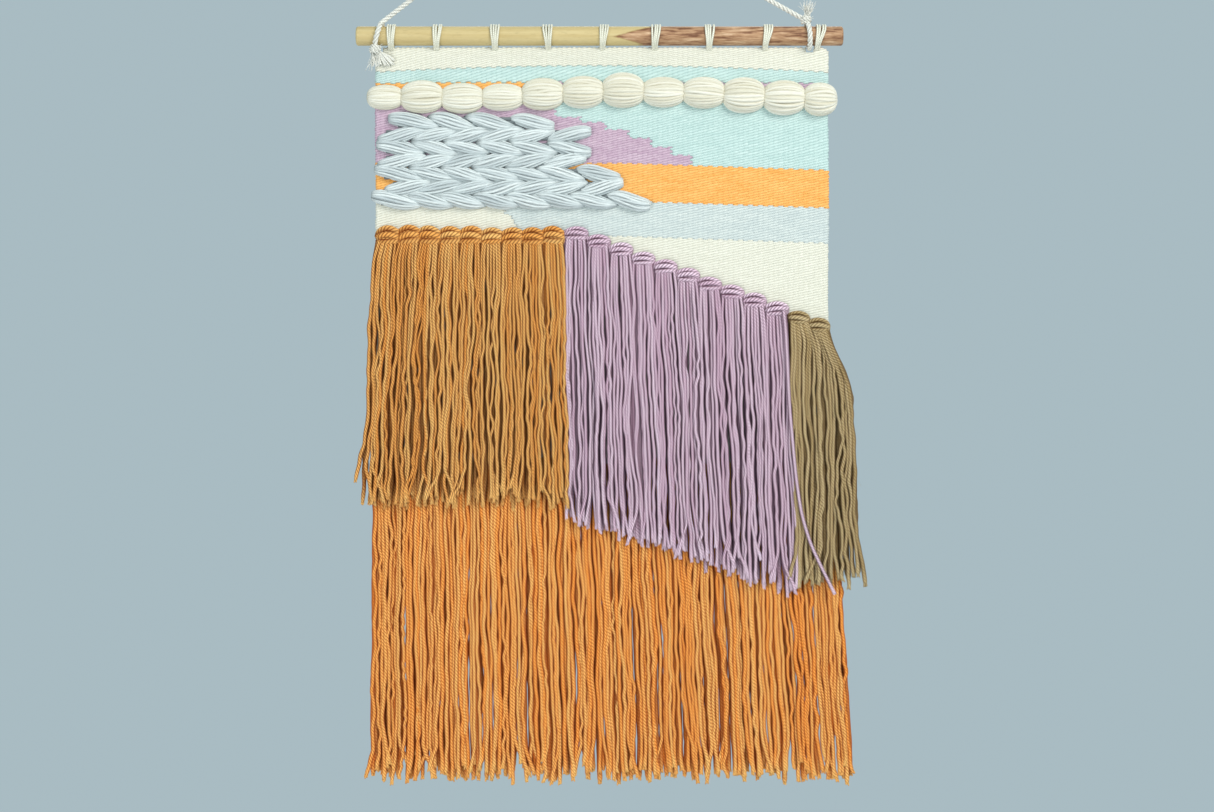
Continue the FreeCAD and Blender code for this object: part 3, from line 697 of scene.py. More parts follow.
def hang_tassel(fringe, seed, top_span, middle_span, tip_span, top_z, tip_z):
    """A tassel's strands in two layers, from the knot through full width to the tips.

    The spans are its left and right end in X; tip_z gives a strand's lower end in Z from its share
    of the tassel's width.
    """
    rng = np.random.default_rng(seed)
    strands = []
    for layer, count in enumerate((fringe.front, fringe.back)):
        y = fringe.depths[layer]
        wider = 1.4 * MM * layer
        for share in (np.arange(count) + 0.5 - 0.25 * layer) / count:
            near = share + rng.normal(0, 0.02)
            top_x = top_span[0] - wider + (top_span[1] - top_span[0] + 2 * wider) * near
            middle_x = middle_span[0] + (middle_span[1] - middle_span[0]) * near
            tip_x = tip_span[0] + (tip_span[1] - tip_span[0]) * near + rng.normal(0, 1.2 * MM)
            low = tip_z(share) + np.clip(rng.normal(0, 0.5), -1, 1) * fringe.ragged
            if rng.random() < 0.14:
                low = low + rng.uniform(4, 14) * MM
            start = np.array([top_x, y * 0.45 + fringe.depths[1] * 0.2, top_z])
            tip = np.array([tip_x, y + np.clip(rng.normal(0, 0.7), -1.2, 1.2) * MM, low])
            strand = hanging_strand(rng, start, middle_x, tip, fringe, layer)
            strands.append(strand)
            strands += loose_plies(rng, strand, fringe.radius)
            strands += stray_fibres(rng, strand, fringe.radius, layer)
    return strands


def stray_fibres(rng, strand, radius, layer):
    """A few hairs of wool that stand off a strand."""
    line, _, tone, _ = strand
    hairs = []
    for _ in range(4 if layer == 0 else 2):
        k = rng.integers(5, len(line) - 2)
        aside = np.array([rng.choice([-1.0, 1.0]), -0.7 if layer == 0 else 0.5, 0.0]) + rng.normal(0, 0.3, 3)
        aside = unit(aside * np.array([1, 1, 0.3]))
        t = np.linspace(0, 1, 4)[:, None]
        length = rng.uniform(2.5, 6.5) * MM
        down = np.array([rng.normal(0, 0.3), 0.0, rng.choice([-1.0, 1.0])])
        hair = line[k] + aside * (radius * 0.8 + 1.5 * MM * np.sin(t * 2.4)) + down * length * t
        hairs.append((hair, HAIR_RADIUS, min(1.0, tone + 0.3), None))
    return hairs


def loose_plies(rng, strand, radius):
    """The four plies of a strand that spring apart at its cut end."""
    line, _, tone, _ = strand
    ahead = unit(line[-1] - line[-2])
    thick = radius * np.array([0.42, 0.46, 0.46, 0.42, 0.26])
    plies = []
    turn = rng.random() * 2 * math.pi
    for k in range(4):
        angle = turn + k * math.pi / 2 + rng.normal(0, 0.2)
        aside = np.array([math.cos(angle), 0.8 * math.sin(angle), 0.0])
        run = np.linspace(-2.2, rng.uniform(1.0, 2.6), 5)[:, None] * MM
        spread = radius * (0.42 + 0.16 * np.clip(run / MM, 0, 3) + 0.1 * rng.random())
        plies.append((line[-1] + ahead * run + aside * spread, thick, tone, None))
    return plies


def ochre_spread(share):
    """How far to the left the ochre tips hang, from 0 at the fringe's left edge to 1 at its right."""
    return OCHRE_SPREAD * (1 - share) ** 2 - OCHRE_LEAN * share ** 6


def make_ochre_fringe():
    """Nine ochre tassels; the ones at the left spread outwards, the last leans over the lilac ones."""
    tassels = []
    for i, (left, right, top) in enumerate(OCHRE_KNOTS):
        spread = ochre_spread(i / 9)
        next_spread = ochre_spread((i + 1) / 9)
        strands = hang_tassel(OCHRE, 100 + i, (left + 1.5 * MM, right - 1.5 * MM),
                              (left - 0.2 * spread, right - 0.2 * next_spread),
                              (left - spread, right - next_spread), top - 10.5 * MM,
                              lambda share: OCHRE_TIPS_Z)
        tassels.append((OCHRE.node.format(i + 1), strands))
    return tassels


def make_lilac_fringe():
    """Ten lilac tassels that hang lower and lower to the right."""
    tassels = []
    row_left = 3.9 * MM
    for i, (left, right, top) in enumerate(LILAC_KNOTS):
        low = LILAC_FIRST_TIP_Z - LILAC_TIPS_SLOPE * ((left + right) / 2 - row_left)
        drift = (2 + 5 * min(1, i / 3)) * MM
        strands = hang_tassel(LILAC, 130 + i, (left + 1.6 * MM, right - 1.6 * MM), (left, right),
                              (left + drift, right + 2 * MM + drift), top - 7.5 * MM,
                              lambda share: low - 3 * MM * (share - 0.5))
        if i == 9:
            strands.append(stray_strand(top - 6 * MM))
        tassels.append((LILAC.node.format(i + 1), strands))
    return tassels


def stray_strand(top):
    """The lilac strand that has fallen across the olive tassels."""
    way = np.array([
        [186, -7.2, top / MM], [187.5, -8.4, -360], [191, -9.2, -430], [196, -9.8, -485],
        [200.5, -10.0, -516], [208, -10.2, -541], [218, -10.2, -562], [228.5, -9.8, -583],
    ]) * MM
    line = resample(way, RING_GAP)
    for _ in range(12):
        line[1:-1] = (line[:-2] + line[2:] + 2 * line[1:-1]) / 4
    return line, LILAC.radius, 0.8, FRONT_WAY


def make_olive_fringe():
    """Two olive tassels at the right edge that lean outwards."""
    tassels = []
    for i, (left, right, top) in enumerate(OLIVE_KNOTS):
        strands = hang_tassel(OLIVE, 150 + i, (left + 2.2 * MM, right - 2.2 * MM),
                              (left + (1 + 7 * i) * MM, right + (8 + 10 * i) * MM),
                              (left + (4 + 8 * i) * MM, right + (11 + 16 * i) * MM),
                              top - 7.5 * MM, lambda share: OLIVE_TIPS_Z)
        tassels.append((OLIVE.node.format(i + 1), strands))
    return tassels


def make_orange_fringe():
    """The long bottom fringe, one tassel under each knot behind the hem."""
    tassels = []
    edge = ORANGE_KNOTS[0][0]
    width = ORANGE_KNOTS[-1][1] - edge
    for i, (left, right, top) in enumerate(ORANGE_KNOTS):
        shares = ((left - edge) / width, (right - edge) / width)
        middle = [edge - 1 * MM + (width + 6 * MM) * share for share in shares]
        tips = [edge - 3 * MM + (width + 24 * MM) * share for share in shares]
        strands = hang_tassel(ORANGE, 200 + i, (left + 0.8 * MM, right - 0.8 * MM), middle, tips,
                              top - 6 * MM, lambda share: ORANGE_TIPS_Z)
        tassels.append((f"orange_tassel_{i + 1}", strands))
    return tassels


# ------------------------------------------------------------------ dowel lashings, cord and its knots
# How far each lashing leans to the right from the cloth's edge to the top of the dowel, in mm
LASHING_LEAN = [0.6, 1.0, 0.2, -0.6, 1.2, 1.4, 0.4, 2.6, 3.4]
LASHING_TURNS = 4
LASHING_PITCH = 2.15 * MM       # between turns on top of the dowel
LASHING_FOOT_PITCH = 1.0 * MM   # and where they enter the cloth


def make_lashing(number):
    """Four turns of cotton round the dowel that draw together where they enter the cloth."""
    rng = np.random.default_rng(300 + number)
    node = f"lashing_{number}"
    middle = sum(span(node, 0)) / 2
    lean = LASHING_LEAN[number - 1] * MM
    radius = DOWEL_RADIUS + 0.2 * MM + LASHING_YARN
    foot = np.array([2.3 * MM, CLOTH_TOP - 0.4 * MM - DOWEL_Z])
    reach = np.hypot(*foot)
    angle = math.atan2(foot[1], foot[0]) + math.acos(radius / reach)
    arc = np.linspace(math.pi - angle, angle, 26)
    height = np.array([-1.3, -1.2, -1.1] + list(np.sin(arc)) + [-1.1, -1.2, -1.3])
    inside_y = 0.4 * MM
    end_ys = [foot[0], foot[0] * 0.8, inside_y]
    end_zs = [foot[1], foot[1] - 1.2 * MM, foot[1] - 2.2 * MM]
    ys = [-y for y in reversed(end_ys)] + list(radius * np.cos(arc)) + end_ys
    zs = end_zs[::-1] + list(radius * np.sin(arc)) + end_zs
    strands = []
    for k in range(LASHING_TURNS):
        share = k - (LASHING_TURNS - 1) / 2
        top_x = middle + lean * 0.7 + share * LASHING_PITCH + rng.normal(0, 0.2 * MM)
        foot_x = middle - lean * 0.3 + share * LASHING_FOOT_PITCH + rng.normal(0, 0.15 * MM)
        x = foot_x + (top_x - foot_x) * fade(height, -1.15, 0.8)
        line = np.stack([x, np.array(ys), DOWEL_Z + np.array(zs)], axis=1)
        line = resample(line, 1.3 * MM)
        # painted shade on the sides of each turn that face its neighbours and the dowel
        outward = unit((line - np.array([0, 0, DOWEL_Z])) * np.array([0, 1, 1]))
        strands.append((line, LASHING_YARN * rng.uniform(0.92, 1.08), rng.random(), outward))
    return spin(f"lashing_turns_{number}", strands)


CORD_ROUTE = [  # from the right knot over the nail to the left end on the dowel, in mm
    (204.5, 0.0, -104.6),
    (22.0, 0.0, -3.4),
    (0.0, 0.0, 8.0),
    (-19.8, -0.6, -7.2),
    (-149.3, -4.4, -108.0),
]


def route_line(points):
    """The points of the smooth spline that the route's points steer, in metres."""
    curve = bpy.data.curves.new("cord_route", "CURVE")
    curve.dimensions = "3D"
    curve.resolution_u = 48
    spline = curve.splines.new("NURBS")
    spline.points.add(len(points) - 1)
    for place, point in zip(points, spline.points):
        point.co = (place[0] * MM, place[1] * MM, place[2] * MM, 1)
    spline.order_u = 3
    spline.use_endpoint_u = True
    holder = bpy.data.objects.new("cord_route", curve)
    mesh = bpy.data.meshes.new_from_object(holder)
    line = np.array([v.co for v in mesh.vertices], float)
    bpy.data.objects.remove(holder)
    bpy.data.meshes.remove(mesh)
    bpy.data.curves.remove(curve)
    return line


def twisted(line, diameter=CORD_DIAMETER, lay=CORD_LAY, gap=1.3 * MM):
    """The three strands of a laid cord of that diameter round a line."""
    line = resample(line, gap)
    across, other = side_ways(line)
    strand_radius = diameter / 2 / (1 + 2 / math.sqrt(3))
    reach = diameter / 2 - strand_radius
    phase = 2 * math.pi * run_along(line) / lay
    strands = []
    for k in range(CORD_STRANDS):
        angle = (phase + 2 * math.pi * k / CORD_STRANDS)[:, None]
        offset = reach * (np.cos(angle) * across + np.sin(angle) * other)
        # painted shade where each strand meets the other two
        strands.append((line + offset, strand_radius * 1.12, (k + 0.5) / CORD_STRANDS, offset / reach))
    return strands


def cord_turn(name, angles, x_along):
    """A turn of cord round the dowel; the angles run in degrees from its top towards the front."""
    turn = np.radians(angles)
    radius = DOWEL_RADIUS + CORD_GAP + CORD_DIAMETER / 2
    line = np.stack([x_along, -radius * np.sin(turn), DOWEL_Z + radius * np.cos(turn)], axis=1)
    return spin(name, twisted(line), CORD_SIDES)


def frayed(rng, root, way, count, length, spread):
    """Loose fibres that fan out from a cut end of cord."""
    fibres = []
    way = unit(np.array(way, float))
    for _ in range(count):
        aim = unit(way + rng.normal(0, spread, 3))
        bend = rng.normal(0, 0.35, 3)
        run = np.linspace(0, length * rng.uniform(0.55, 1.15), 8)
        share = (run / length)[:, None]
        line = root + rng.normal(0, 0.9 * MM, 3) + aim * run[:, None] + bend * length * share ** 2 * 0.5
        fibres.append((line, FIBRE_RADIUS * np.linspace(1.2, 0.7, 8), 0.4 + 0.6 * rng.random(), None))
    return fibres


def spread_tuft(rng, root):
    """The cord's unlaid end, combed down over the cloth's cut-back corner."""
    tufts = []
    foot_left = -157.0
    tuft_width = 19.5
    for share in np.linspace(0, 1, 58):
        near = share + rng.normal(0, 0.03)
        foot = np.array([foot_left + tuft_width * near, 0.0, rng.uniform(-144.5, -138.0)]) * MM
        foot[1] = CLOTH_FACE - rng.uniform(0.3, 1.6) * MM
        middle = root * np.array([0.5, 1, 0.6]) + foot * np.array([0.5, 0, 0.4])
        middle[0] += 2.2 * MM * (near - 0.5)
        middle[1] -= rng.uniform(0.2, 1.4) * MM
        t = np.linspace(0, 1, 11)[:, None]
        line = root * (1 - t) ** 2 + 2 * middle * t * (1 - t) + foot * t ** 2
        line[:, 0] += 0.35 * MM * np.sin(2 * math.pi * (1.3 * t[:, 0] + rng.random())) * t[:, 0]
        thick = rng.uniform(0.45, 0.72) * MM * np.linspace(1.0, 0.75, 11)
        tufts.append((line, thick, 0.5 + 0.5 * rng.random(), None))
    return tufts


def wound_knot(centre, radius, axis, turns=3):
    """A tight knot: turns of cord wound on each other round an axis."""
    axis = unit(np.array(axis, float))
    side = unit(np.cross(axis, [0.3, 0.9, 0.2]))
    other = np.cross(axis, side)
    points_in_turn = 26
    t = np.linspace(0, 1, points_in_turn * turns)
    angle = 2 * math.pi * turns * t
    swell = radius * (0.62 + 0.2 * np.sin(math.pi * t))
    wobble = 0.5 * MM * np.sin(3 * angle / turns)
    line = centre + (np.cos(angle) * (swell + wobble))[:, None] * side \
        + (np.sin(angle) * swell)[:, None] * other + ((t - 0.5) * radius * 1.5)[:, None] * axis
    return twisted(line, CORD_DIAMETER * 0.78, lay=8 * MM, gap=1.0 * MM)


def make_cord_turns():
    """The cord's two turns round the dowel, by their nodes' names."""
    left = np.linspace(22, 366, 90)
    left_x = -149.3 * MM - 4.6 * MM * fade(left, 22, 150) + 5.6 * MM * fade(left, 160, 366)
    right = np.linspace(-14, 346, 90)
    right_x = 206.6 * MM + 1.4 * MM * fade(right, 0, 110) - 2.6 * MM * fade(right, 240, 346)
    return {
        "left_cord_loop": cord_turn("left_cord_turn", left, left_x),
        "right_cord_loop": cord_turn("right_cord_turn", right, right_x),
    }


def make_cord_knots():
    """The cord's two knots with their frayed tails, by their nodes' names."""
    rng = np.random.default_rng(71)
    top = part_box("left_cord_knot")[1][2]
    centre = np.array([-153.6 * MM, -5.6 * MM, top - KNOT_BALL])
    strands = wound_knot(centre, 4.2 * MM, (0.35, 0.1, 1))
    tail = centre + np.array([-1.8, -0.6, -3.4]) * MM
    strands += frayed(rng, tail, (0.0, -0.15, -1), 26, 12 * MM, 0.22)
    strands += frayed(rng, centre, (0.5, -0.35, -0.7), 16, 9 * MM, 0.4)
    strands += spread_tuft(rng, centre + np.array([1.5, 0.6, -1.0]) * MM)
    left_knot = spin("left_cord_knot_and_tail", strands, FIBRE_SIDES)

    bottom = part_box("right_cord_knot")[0][2]
    centre = np.array([205.2 * MM, 0, bottom + KNOT_BALL])
    strands = wound_knot(centre, 4.0 * MM, (0.2, 0.1, 1))
    tail = centre + np.array([0.8, 0, 2.6]) * MM
    strands += frayed(rng, tail, (0.12, 0, 1), 70, 12.5 * MM, 0.24)
    strands += frayed(rng, centre, (0.4, -0.5, 0.6), 24, 6 * MM, 0.5)
    right_knot = spin("right_cord_knot_and_tail", strands, FIBRE_SIDES)
    return {"left_cord_knot": left_knot, "right_cord_knot": right_knot}


# ------------------------------------------------------------------ materials
MATERIALS = {}                  # every finish that is made, by its slot's name
YARN_SHEEN = 0.04
YARN_GLOSS = 0.08
WOOL_SHEEN = 0.2
ROVING_SHEEN = 0.15
FIBRE_GLOSS = 0.2
WOOD_GLOSS = 0.35
SHEEN_ROUGHNESS = 0.45
WEAVE_BUMP = 0.42 * MM
ROVING_BUMP = 0.22 * MM


def linear(red, green, blue):
    """A colour given as on a paint card, 0 to 255, in the linear values that a shader takes."""
    return tuple(((v / 255 + 0.055) / 1.055) ** 2.4 for v in (red, green, blue)) + (1.0,)


def calc(tree, operation, *terms):
    """A Math node on the terms, each a socket or a number; gives its output."""
    node = tree.nodes.new("ShaderNodeMath")
    node.operation = operation
    for socket, term in zip(node.inputs, terms):
        if isinstance(term, bpy.types.NodeSocket):
            tree.links.new(term, socket)
        else:
            socket.default_value = term
    return node.outputs[0]


def place_node(tree, kind, links=None, **values):
    """A node with the sockets in links wired and those in values set; underscores stand for spaces."""
    node = tree.nodes.new(kind)
    for label, value in values.items():
        node.inputs[label.replace("_", " ")].default_value = value
    for label, socket in (links or {}).items():
        tree.links.new(socket, node.inputs[label])
    return node


def new_group(name, inputs, outputs):
    """An empty shader node group; gives it with its inner input and output sockets by name."""
    group = bpy.data.node_groups.new(name, "ShaderNodeTree")
    for label, kind, value in inputs:
        socket = group.interface.new_socket(label, in_out="INPUT", socket_type=kind)
        if value is not None:
            socket.default_value = value
    for label, kind in outputs:
        group.interface.new_socket(label, in_out="OUTPUT", socket_type=kind)
    source = group.nodes.new("NodeGroupInput")
    sink = group.nodes.new("NodeGroupOutput")
    return group, source.outputs, sink.inputs


def combine(tree, x, y, z=0.0):
    """A vector from three sockets or numbers."""
    node = tree.nodes.new("ShaderNodeCombineXYZ")
    for socket, term in zip(node.inputs, (x, y, z)):
        if isinstance(term, bpy.types.NodeSocket):
            tree.links.new(term, socket)
        else:
            socket.default_value = term
    return node.outputs[0]


def split(tree, vector):
    """The three parts of a vector socket."""
    return place_node(tree, "ShaderNodeSeparateXYZ", {"Vector": vector}).outputs


def uneven(tree, vector, scale, detail, amount, roughness=0.5):
    """A noise value over a vector that swings about 0, times an amount."""
    around_zero = calc(tree, "SUBTRACT", noise(tree, vector, scale, detail, roughness), 0.5)
    return calc(tree, "MULTIPLY", around_zero, amount)


def ramp(tree, value, start, end):
    """0 where the value is at start and 1 where it is at end, straight between them."""
    return place_node(tree, "ShaderNodeMapRange", {"Value": value}, From_Min=start, From_Max=end).outputs[0]


def stretched(tree, vector, scale, lean=0.0):
    """The places that a pattern is read at: scaled along each axis, and leaning by degrees about Y."""
    node = place_node(tree, "ShaderNodeMapping", {"Vector": vector},
                      Rotation=(0, math.radians(lean), 0), Scale=scale)
    return node.outputs[0]


def noise(tree, vector, scale, detail=2.0, roughness=0.5):
    """A noise value over a vector."""
    node = place_node(tree, "ShaderNodeTexNoise", {"Vector": vector}, Scale=scale, Detail=detail,
                      Roughness=roughness)
    return node.outputs["Fac"]


def ply_twist_group():
    """The plies of a spun yarn winding round it: u is once round the strand, v metres along it."""
    group, given, out = new_group(
        "ply_twist",
        [("Thread", "NodeSocketVector", None), ("Plies", "NodeSocketFloat", 4.0),
         ("Pitch", "NodeSocketFloat", 1.9 * MM), ("Fuzz", "NodeSocketFloat", 0.3)],
        [("Height", "NodeSocketFloat"), ("Groove", "NodeSocketFloat")])
    u, v, _ = split(group, given["Thread"])
    turns = calc(group, "MULTIPLY", u, given["Plies"])
    along = calc(group, "DIVIDE", v, given["Pitch"])
    phase = calc(group, "MULTIPLY", calc(group, "ADD", turns, along), math.pi)
    ply = calc(group, "ABSOLUTE", calc(group, "SINE", phase))
    rounded = calc(group, "POWER", ply, 0.6)
    fibre_place = combine(group, calc(group, "MULTIPLY", u, 14.0), calc(group, "MULTIPLY", v, 900.0),
                          calc(group, "MULTIPLY", along, 0.37))
    fibre = noise(group, fibre_place, 1.0, 3.0, 0.6)
    height = calc(group, "ADD", rounded, calc(group, "MULTIPLY", fibre, given["Fuzz"]))
    group.links.new(height, out["Height"])
    # Groove is the hollow between plies, where the yarn material paints shade
    group.links.new(calc(group, "POWER", calc(group, "SUBTRACT", 1.0, ply), 1.15), out["Groove"])
    return group


def fibre_streak_group():
    """Fine loose fibres that run along a strand of roving, hardly twisted."""
    group, given, out = new_group(
        "fibre_streak",
        [("Thread", "NodeSocketVector", None), ("Fineness", "NodeSocketFloat", 9.0),
         ("Lean", "NodeSocketFloat", 60.0)],
        [("Height", "NodeSocketFloat"), ("Groove", "NodeSocketFloat")])
    u, v, _ = split(group, given["Thread"])
    leaning = calc(group, "ADD", u, calc(group, "MULTIPLY", v, given["Lean"]))
    angle = calc(group, "MULTIPLY", leaning, 2 * math.pi)
    ring = combine(group, calc(group, "SINE", angle), calc(group, "COSINE", angle),
                   calc(group, "MULTIPLY", v, 60.0))
    streak = place_node(group, "ShaderNodeTexNoise", {"Vector": ring, "Scale": given["Fineness"]},
                        Detail=3.0, Roughness=0.65).outputs["Fac"]
    # the hollows between fibres, where the roving material paints shade
    dark = calc(group, "MULTIPLY", calc(group, "SUBTRACT", 0.52, streak), 3.0)
    dark = place_node(group, "ShaderNodeClamp", {"Value": dark}).outputs[0]
    group.links.new(streak, out["Height"])
    group.links.new(dark, out["Groove"])
    return group


def weft_face_group():
    """The face of a weft-faced weave: thread floats over every other warp; u in warps, v in threads."""
    group, given, out = new_group(
        "weft_face",
        [("Thread", "NodeSocketVector", None), ("Place", "NodeSocketVector", None)],
        [("Height", "NodeSocketFloat"), ("Groove", "NodeSocketFloat"), ("Streak", "NodeSocketFloat")])
    u, v, _ = split(group, given["Thread"])
    warp = calc(group, "FLOOR", u)
    odd = calc(group, "MULTIPLY", calc(group, "MODULO", warp, 2.0), 0.5)
    wobble = uneven(group, given["Thread"], 0.6, 2.0, 0.35)
    slant = calc(group, "MULTIPLY", calc(group, "SUBTRACT", calc(group, "FRACT", u), 0.5), 0.45)
    thread = calc(group, "ADD", calc(group, "ADD", v, odd), calc(group, "ADD", wobble, slant))
    from_warp = calc(group, "SUBTRACT", calc(group, "FRACT", u), 0.5)
    from_thread = calc(group, "SUBTRACT", calc(group, "FRACT", thread), 0.5)
    across = calc(group, "POWER", calc(group, "MULTIPLY", from_warp, 1.15), 2.0)
    along = calc(group, "POWER", calc(group, "MULTIPLY", from_thread, 1.9), 2.0)
    crest = calc(group, "SUBTRACT", 1.0, calc(group, "ADD", across, along))
    crest = calc(group, "MAXIMUM", crest, 0.0)
    fuzz = noise(group, given["Place"], 1700.0, 3.0, 0.7)
    height = calc(group, "ADD", crest, calc(group, "MULTIPLY", fuzz, 0.55))
    group.links.new(height, out["Height"])
    # Groove is the hollow between floats, where the weave material paints shade
    group.links.new(calc(group, "POWER", calc(group, "SUBTRACT", 1.0, crest), 3.0), out["Groove"])
    pass_place = combine(group, calc(group, "MULTIPLY", u, 0.11), calc(group, "FLOOR", thread))
    group.links.new(noise(group, pass_place, 1.3, 2.0, 0.6), out["Streak"])
    return group


GROUPS = {
    "ply_twist": ply_twist_group(),
    "fibre_streak": fibre_streak_group(),
    "weft_face": weft_face_group(),
}


def use_group(tree, name, links, **values):
    """A node group placed in a material, its sockets wired and set; gives its outputs."""
    node = tree.nodes.new("ShaderNodeGroup")
    node.node_tree = GROUPS[name]
    for label, value in values.items():
        node.inputs[label].default_value = value
    for label, socket in links.items():
        tree.links.new(socket, node.inputs[label])
    return node.outputs


def mix_colour(tree, share, first, second):
    """Two colours mixed by a share; each is a socket or a colour."""
    node = tree.nodes.new("ShaderNodeMix")
    node.data_type = "RGBA"
    for index, term in ((0, share), (6, first), (7, second)):
        if isinstance(term, bpy.types.NodeSocket):
            tree.links.new(term, node.inputs[index])
        else:
            node.inputs[index].default_value = term
    return node.outputs[2]


def start_material(name, sheen, gloss=FIBRE_GLOSS):
    """Starts a matt material and keeps it by its name; gives its tree and its Principled shader."""
    material = bpy.data.materials.new(name)
    MATERIALS[name] = material
    material.use_nodes = True
    tree = material.node_tree
    shader = tree.nodes["Principled BSDF"]
    shader.inputs["Specular IOR Level"].default_value = gloss
    shader.inputs["Sheen Weight"].default_value = sheen
    shader.inputs["Sheen Roughness"].default_value = SHEEN_ROUGHNESS
    return tree, shader


def finish_material(tree, shader, colour, roughness, height, distance, strength=1.0):
    """Wires colour, roughness and bump into the shader."""
    tree.links.new(colour, shader.inputs["Base Color"])
    tree.links.new(roughness, shader.inputs["Roughness"])
    bump = place_node(tree, "ShaderNodeBump", {"Height": height}, Strength=strength, Distance=distance)
    tree.links.new(bump.outputs["Normal"], shader.inputs["Normal"])


def thread_map(tree):
    """The piece's own thread map: round and along a strand, or warps and wefts of the cloth."""
    node = tree.nodes.new("ShaderNodeUVMap")
    node.uv_map = "thread"
    return node.outputs[0]


def tint_parts(tree):
    """The strand's tone, how near its cut end a point lies and how much painted crevice shade it gets."""
    node = tree.nodes.new("ShaderNodeAttribute")
    node.attribute_name = "tint"
    return split(tree, node.outputs["Vector"])


def object_place(tree):
    """Places in the part's own frame, in metres."""
    return tree.nodes.new("ShaderNodeTexCoord").outputs["Object"]


def yarn_material(name, light, dark, deep, plies=4.0, pitch=2.8 * MM, bump=0.45 * MM, shadow=1.0):
    """Plied yarn: strands between a light and a dark tone, with a deep tone painted as shade between plies
    and in the crevices between strands.
    """
    light, dark, deep = linear(*light), linear(*dark), linear(*deep)
    tree, shader = start_material(name, YARN_SHEEN, YARN_GLOSS)
    twist = use_group(tree, "ply_twist", {"Thread": thread_map(tree)}, Plies=plies, Pitch=pitch)
    tone, end, crevice = tint_parts(tree)
    cloudy = noise(tree, object_place(tree), 55.0)
    share = calc(tree, "ADD", calc(tree, "MULTIPLY", tone, 0.62), calc(tree, "MULTIPLY", cloudy, 0.38))
    colour = mix_colour(tree, share, dark, light)
    # painted shade between the plies
    groove_shade = calc(tree, "MULTIPLY", twist["Groove"], 0.95)
    colour = mix_colour(tree, groove_shade, colour, deep)
    colour = mix_colour(tree, calc(tree, "MULTIPLY", end, 0.25), colour, light)
    # painted crevice shade between strands, as strong as shadow says
    depth = calc(tree, "POWER", crevice, 0.75)
    colour = mix_colour(tree, calc(tree, "MULTIPLY", depth, shadow), colour, deep)
    roughness = calc(tree, "ADD", 0.82, calc(tree, "MULTIPLY", twist["Groove"], 0.12))
    finish_material(tree, shader, colour, roughness, twist["Height"], bump)


def roving_material(name, light, dark, deep, shadow):
    """Soft roving: loose fibres that run along the strand, with painted shade between the fibres and in the
    crevices between strands.
    """
    light, dark, deep = linear(*light), linear(*dark), linear(*deep)
    tree, shader = start_material(name, ROVING_SHEEN)
    streak = use_group(tree, "fibre_streak", {"Thread": thread_map(tree)}, Fineness=2.6, Lean=28.0)
    tone, _, crevice = tint_parts(tree)
    colour = mix_colour(tree, tone, dark, light)
    # painted shade between the fibres, then painted crevice shade between strands
    colour = mix_colour(tree, calc(tree, "MULTIPLY", streak["Groove"], 0.5), colour, deep)
    colour = mix_colour(tree, calc(tree, "MULTIPLY", crevice, shadow), colour, deep)
    roughness = calc(tree, "ADD", 0.84, calc(tree, "MULTIPLY", streak["Groove"], 0.1))
    finish_material(tree, shader, colour, roughness, streak["Height"], ROVING_BUMP)


def weave_material(name, light, dark, deep, streaks=0.5):
    """Tapestry weave of one colour of wool, with the streaks of its uneven threads and painted shade in the
    grooves between its floats.
    """
    light, dark, deep = linear(*light), linear(*dark), linear(*deep)
    tree, shader = start_material(name, WOOL_SHEEN)
    place = object_place(tree)
    face = use_group(tree, "weft_face", {"Thread": thread_map(tree), "Place": place})
    band = calc(tree, "MULTIPLY", calc(tree, "SUBTRACT", face["Streak"], 0.5), 2.4 * streaks)
    speck = uneven(tree, place, 420.0, 3.0, 1.1, 0.65)
    share = calc(tree, "ADD", 0.55, calc(tree, "ADD", band, speck))
    share = place_node(tree, "ShaderNodeClamp", {"Value": share}).outputs[0]
    colour = mix_colour(tree, share, dark, light)
    # painted shade in the grooves between floats
    colour = mix_colour(tree, calc(tree, "MULTIPLY", face["Groove"], 0.55), colour, deep)
    roughness = calc(tree, "ADD", 0.86, calc(tree, "MULTIPLY", face["Groove"], 0.1))
    finish_material(tree, shader, colour, roughness, face["Height"], WEAVE_BUMP)


TONE_CHANGE_X = 45.5 * MM       # the red-brown tone's tip; its edge slants off to the right from there
TONE_CHANGE_Z = -121.6 * MM
TONE_UPPER_SLANT = 3.2
TONE_LOWER_SLANT = -4.9


def past_tone_change(tree, place):
    """How far to the right of the slanting line between the dowel's two tones a place lies."""
    x, y, z = split(tree, place)
    waver = uneven(tree, place, 260.0, 3.0, 5 * MM)
    from_tip = calc(tree, "ADD", calc(tree, "ADD", z, -TONE_CHANGE_Z), calc(tree, "MULTIPLY", y, 0.25))
    upper = calc(tree, "MULTIPLY", from_tip, TONE_UPPER_SLANT)
    lower = calc(tree, "MULTIPLY", from_tip, TONE_LOWER_SLANT)
    edge = calc(tree, "ADD", calc(tree, "MAXIMUM", upper, lower), TONE_CHANGE_X)
    return calc(tree, "SUBTRACT", calc(tree, "ADD", x, waver), edge)


